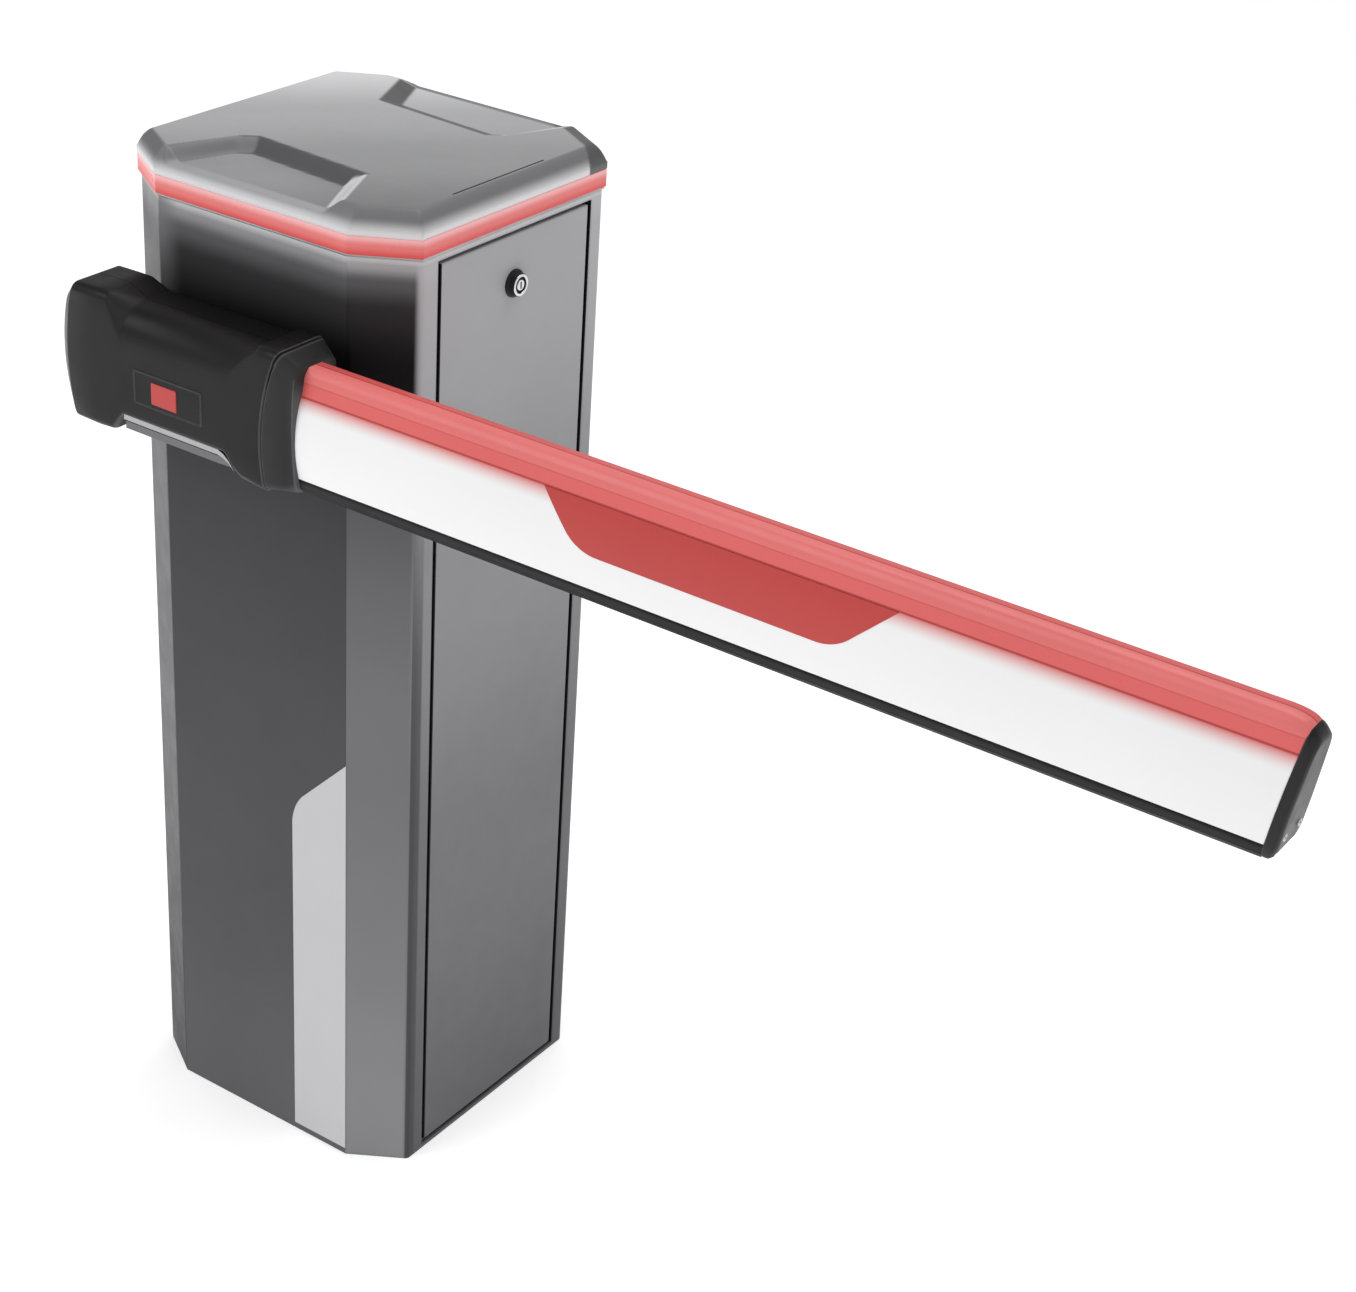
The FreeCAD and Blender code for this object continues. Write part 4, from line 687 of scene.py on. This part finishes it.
def rim_shares(x, y):
    """How far in from the lid's sides and its cut corners a point lies: 0 at the edge, 1 on the flat."""
    cut = (abs(x) - LID_HALF + CHAMFER_X) * CHAMFER_Y + (abs(y) - LID_HALF + CHAMFER_Y) * CHAMFER_X
    corner = (CHAMFER_X * CHAMFER_Y - cut) / math.hypot(CHAMFER_X, CHAMFER_Y)
    return min((LID_HALF - abs(x)) / 14, (LID_HALF - abs(y)) / 17), corner / 15


def lid_height(x, y):
    rim = min(1.0, *rim_shares(x, y))
    rise = 0.78 * (1 - (1 - max(rim, 0.0)) ** 2) + 0.22 * rim
    top = LID_EDGE_TOP + (LID_TOP - LID_EDGE_TOP) * rise
    near = LID_TOP - (LID_TOP - SCOOP_FLOOR) * smooth(scoop_wall(x, y))
    far = LID_TOP - (LID_TOP - FAR_SCOOP_FLOOR) * scoop_wall(-x, -y)
    return min(top, near, far)


def lid_shades(x, y, normal):
    """Shares of the painted shade, the painted highlight and the rim tone at a point of the lid."""
    side, corner = rim_shares(x, y)
    rim = 1 - smooth((min(side, corner) - 0.9) / 0.1)
    near, far = scoop_wall(x, y), scoop_wall(-x, -y)
    wall = 0.0
    if max(near, far) > 0 and rim < 0.5:
        wall = smooth(min(max(near, far), 1 - max(near, far)) / 0.1)
    bright = wall * smooth((-normal.x - 0.12) / 0.15)
    left_end = smooth((normal.x - 0.1) / 0.25) if near > 0 else 0.0
    dark = (wall - bright) * (1 - 0.45 * left_end)
    # painted shade on the cut corner at the back right and on the bevel at the front left
    if x > 0 and y > 0:
        dark = max(dark, 0.95 * smooth((1.7 - corner) / 0.12))
    if x < 0 and y < 0:
        bevel = smooth((1.0 - corner) / 0.1) * smooth((side - corner) / 0.2) * smooth(corner / 0.3)
        dark = max(dark, 0.6 * bevel)
    return (dark, bright, rim, 1)


def lid(look, slot_look):
    shape = bmesh.new()
    bmesh.ops.create_grid(shape, x_segments=178, y_segments=178, size=LID_HALF)
    for sign_x in (-1, 1):
        for sign_y in (-1, 1):
            bmesh.ops.bisect_plane(
                shape, geom=shape.verts[:] + shape.edges[:] + shape.faces[:], dist=0.01,
                plane_co=(sign_x * LID_HALF, sign_y * (LID_HALF - CHAMFER_Y), 0),
                plane_no=(sign_x * CHAMFER_Y, sign_y * CHAMFER_X, 0), clear_outer=True)
    for vert in shape.verts:
        vert.co.z = lid_height(vert.co.x, vert.co.y)
    # the rim is drawn down by hand, since Blender's own extrusion gives another face order each run
    pairs = [(loop.link_loop_next.vert, loop.vert)
             for edge in shape.edges if edge.is_boundary for loop in edge.link_loops]
    for drop, tuck in ((0.8, 0.0), (LID_EDGE_TOP - LENS_TOP - 1.6, 0.0), (0.8, 0.6), (0.0, 18)):
        share = 1 - tuck / LID_HALF
        below = {}
        for vert in (vert for pair in pairs for vert in pair):
            if vert not in below:
                below[vert] = shape.verts.new((vert.co.x * share, vert.co.y * share, vert.co.z - drop))
        for first, second in pairs:
            shape.faces.new((first, second, below[second], below[first]))
        pairs = [(below[first], below[second]) for first, second in pairs]
    piece = new_piece("lid_cover", shape, "cabinet", look, ["lid"], 60)
    shade = piece.data.attributes.new("shade", "FLOAT_COLOR", "POINT")
    for vert, store in zip(piece.data.vertices, shade.data):
        store.color = lid_shades(vert.co.x / MM, vert.co.y / MM, vert.normal)

    # a black strip laid on the lid stands for the shade inside its edge slot
    slot = block((162.2, -11.5, LID_TOP), (1.6, 137, 0.5))
    new_piece("lid_slot_shade_strip", slot, "cabinet", slot_look)


def lid_look():
    """Satin grey, painted lighter to the back left, with painted shade on the hand-holds' walls and a
    painted highlight along the rim's foot.
    """
    look = painted("lid_paint", grey(160), roughness=0.4, soft_edge=1.5 * MM, specular=0.3)
    across = look.math("SUBTRACT", look.x, look.y)
    top = look.ramp(across, [(-0.33, grey(212)), (-0.10, grey(163)), (0.10, grey(142)), (0.33, grey(112))])
    foot = look.spread(look.z, (LENS_TOP + 2) * MM, (LID_TOP - 8) * MM, 1.0, 0.0, smooth=True)
    made = look.node("ShaderNodeAttribute", attribute_name="shade")
    split = look.node("ShaderNodeSeparateColor")
    look.wire(made.outputs["Color"], split, "Color")
    tone = look.mix(split.outputs["Blue"], top, look.mix(foot, grey(114), grey(226)))
    tone = look.mix(split.outputs["Red"], tone, grey(80))
    tone = look.mix(split.outputs["Green"], tone, grey(206))
    look.colour(look.mottled(tone, amount=0.03))
    return look


# ---------------------------------------------------------------- lock and spring

def turned(profile, middle, steps=48, closed=True):
    """A skin of revolution about +X: profile is (x, radius); closed puts a cap on both of its ends."""
    rings = []
    for x, radius in profile:
        ring = []
        for i in range(steps):
            angle = 2 * math.pi * i / steps
            ring.append((x, middle[0] + radius * math.cos(angle), middle[1] + radius * math.sin(angle)))
        rings.append(ring)
    return loft(rings, closed, closed)


def lock(black_look, chrome_look):
    """A black raised bezel, a bright ring on its face, and in it the bright plug with a black strip that
    stands for the shade in its keyway.
    """
    middle = (0, LOCK_Z)
    bezel = [(163, 11.0), (174.8, 11.2), (175.0, 14.0), (176.6, 14.0), (177.3, 13.2), (178.0, 12.2),
             (182.6, 11.5), (183.4, 10.9), (183.4, 7.9), (181.8, 7.7), (181.6, 6.0)]
    new_piece("lock_housing", turned(bezel, middle), "door", black_look, ["lock_bezel"])
    ring = [(183.2, 11.0), (183.7, 10.8), (183.9, 10.2), (183.9, 8.6), (183.5, 8.2), (182.9, 8.0)]
    new_piece("lock_ring", turned(ring, middle, closed=False), "door", chrome_look)
    plug = [(182.1, 5.4), (183.1, 5.4), (183.5, 5.0)]
    new_piece("lock_plug", turned(plug, middle), "lock", chrome_look, ["lock_cylinder"])
    # a black strip on the plug stands for the shade inside the keyway
    new_piece("lock_keyway_shade", block((183.4, 0, LOCK_Z), (0.5, 1.8, 7)), "lock", black_look)


def balance_spring(look):
    """Closed coil of round wire, on a mesh of its own; the real spring shortens as the arm rises."""
    middle_x, middle_y = -74.5, -76
    low, high, turns, radius, wire = 303, 777, 30, 20, 3
    steps, sides = 28, 10
    rings = []
    for i in range(turns * steps + 1):
        angle = 2 * math.pi * i / steps
        z = low + (high - low) * i / (turns * steps)
        outward = Vector((math.cos(angle), math.sin(angle), 0))
        centre = Vector((middle_x, middle_y, z)) + outward * radius
        rings.append([centre + outward * wire * math.cos(2 * math.pi * k / sides)
                      + Vector((0, 0, wire * math.sin(2 * math.pi * k / sides))) for k in range(sides)])
    piece = new_piece("balance_coil", loft(rings), "cabinet", look, ["balance_spring"])
    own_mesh(piece)


# ---------------------------------------------------------------- what everything is made of

def dress_all():
    shell_look().on("cabinet_shell")
    panel_look().on("front_panel")
    door_look().on("door_panel")
    painted("stripe_film", grey(196), roughness=0.5, soft_edge=0.3 * MM, mottle=0.02).on("front_stripe")
    rubber = painted("rubber", grey(40), roughness=0.62, depth=0.08 * MM, specular=0.15)
    rubber.on("door_seal", "cable_entry_seal", "lid_gasket", "shaft_seal")
    bumper_look().on("arm_bumper")
    galvanised = painted("galvanised", grey(170), roughness=0.4, mottle=0.18, grain=60, metal=1.0)
    galvanised.on("base_plate", "door_jamb", "door_stiffeners", "crown_tray", "spring_anchor",
                  "drive_frame", "equipment_plate")
    painted("light_strip", srgb(250, 240, 236), roughness=0.5).on("crown_light_strip", "arm_light_strip")
    lit_lens("crown_lens_red", crown_lens_tone, 0.12).on("crown_lens")
    arm_lens(lit_lens("arm_lens_red", arm_lens_tone, 0.08))
    arm_look().on("arm_profile")
    film = painted("red_film", srgb(191, 66, 62), roughness=0.35, grain=400, mottle=0.03).on("arm_decal")
    black = hub_look("hub_plastic", 24, 76)
    hub(black, hub_look("collar_plastic", 36, 84))
    badge(hub_look("badge_plastic", 25, 62), film)
    # painted light: the trim metal as a lit copy and a darker shaded copy, with the black hub plastic as
    # shade in the notch
    hub_trim(brushed("trim_metal", grey(172), 0.38, (1, 1, 40)),
             brushed("trim_metal_shaded", grey(116), 0.42, (1, 1, 40)), black)
    zinc = brushed("zinc_steel", grey(190), 0.3)
    end_cap(hub_look("end_cap_plastic", 40, 60), zinc)
    zinc.on("spring_tension_screw", "spring_tension_nuts", "drive_frame_bolts", "arm_clamp_bolts",
            "lever_pins", "lock_nut")
    steel = brushed("machined_steel", grey(162), 0.32)
    steel.on("arm_bracket", "drive_shaft", "spring_lever", "crank_lever", "sensor_flag", "gear_crank",
             "connecting_rod", "spring_tie_rod")
    balance_spring(brushed("spring_steel", grey(92), 0.35))
    painted("cast_bearing", srgb(88, 92, 98), roughness=0.6, grain=200, depth=0.2 * MM).on("shaft_bearings")
    casting = painted("gearbox_casting", grey(152), roughness=0.5, grain=180, depth=0.3 * MM, metal=0.8)
    casting.on("gearbox_housing")
    painted("motor_paint", srgb(40, 42, 46), roughness=0.45).on("motor_can")
    painted("box_plastic", grey(206), roughness=0.5).on("control_box", "control_box_cover")
    painted("board_green", srgb(24, 92, 52), roughness=0.4).on("control_board")
    brushed("supply_metal", grey(166), 0.4).on("power_supply")
    painted("terminal_plastic", srgb(98, 118, 102), roughness=0.5).on("terminal_block")
    nylon = painted("black_nylon", grey(28), roughness=0.5, specular=0.2)
    nylon.on("cable_glands", "release_lever")
    brushed("sensor_brass", srgb(196, 168, 104), 0.3).on("limit_sensors")
    chrome = brushed("lock_chrome", grey(215), 0.18)
    chrome.on("lock_cam")
    lock(nylon, chrome)
    lid(lid_look(), nylon)


# ---------------------------------------------------------------- camera, light and floor

CAMERA_PLACE = Vector((1.6169, -1.9148, 1.8929))
CAMERA_YAW = 0.5702       # turned left from looking along +Y
CAMERA_PITCH = 0.4977     # tilted down
CAMERA_ROLL = 0.0698      # turned clockwise about the view
CAMERA_LENS = 70.65       # on a 36 mm wide sensor


def make_camera():
    level_out = math.cos(CAMERA_PITCH)
    forward = Vector((-math.sin(CAMERA_YAW) * level_out, math.cos(CAMERA_YAW) * level_out,
                      -math.sin(CAMERA_PITCH)))
    level = Vector((math.cos(CAMERA_YAW), math.sin(CAMERA_YAW), 0))
    upright = level.cross(forward)
    right = level * math.cos(CAMERA_ROLL) + upright * math.sin(CAMERA_ROLL)
    upward = upright * math.cos(CAMERA_ROLL) - level * math.sin(CAMERA_ROLL)
    data = bpy.data.cameras.new("camera")
    data.lens = CAMERA_LENS
    data.sensor_width = 36
    data.clip_end = 60
    camera = bpy.data.objects.new("camera", data)
    rotation = Matrix((right, upward, -forward)).transposed()
    camera.matrix_world = Matrix.Translation(CAMERA_PLACE) @ rotation.to_4x4()
    bpy.context.scene.collection.objects.link(camera)
    bpy.context.scene.camera = camera


def area_light(name, place, target, size, power):
    data = bpy.data.lights.new(name, "AREA")
    data.shape = "RECTANGLE"
    data.size, data.size_y = size
    data.energy = power
    lamp = bpy.data.objects.new(name, data)
    lamp.location = place
    lamp.rotation_euler = (Vector(target) - Vector(place)).to_track_quat("-Z", "Y").to_euler()
    bpy.context.scene.collection.objects.link(lamp)


def make_world():
    world = bpy.data.worlds.new("studio")
    bpy.context.scene.world = world
    world.use_nodes = True
    background = world.node_tree.nodes["Background"]
    background.inputs["Color"].default_value = (1, 1, 1, 1)
    background.inputs["Strength"].default_value = 0.56


def make_floor():
    mesh = bpy.data.meshes.new("floor")
    shape = bmesh.new()
    bmesh.ops.create_grid(shape, x_segments=2, y_segments=2, size=20)
    shape.to_mesh(mesh)
    shape.free()
    floor = bpy.data.objects.new("floor", mesh)
    floor.location.z = min(START_BOUNDS[0][2], 0.0)
    bpy.context.scene.collection.objects.link(floor)
    paper = painted("floor_paper", grey(250), roughness=0.9, mottle=0.01, soft_edge=0, specular=0.1)
    paper.on(floor)
    paper.shader.inputs["Emission Color"].default_value = (1, 1, 1, 1)
    paper.shader.inputs["Emission Strength"].default_value = 0.42


dress_all()
make_camera()
make_world()
make_floor()
area_light("key", (-1.6, -3.2, 3.6), (0.1, 0, 0.6), (2.4, 2.4), 50)
area_light("top", (0.4, 0.8, 3.6), (0.2, 0, 0.8), (2.4, 2.4), 36)

bpy.context.scene.view_settings.view_transform = "Standard"
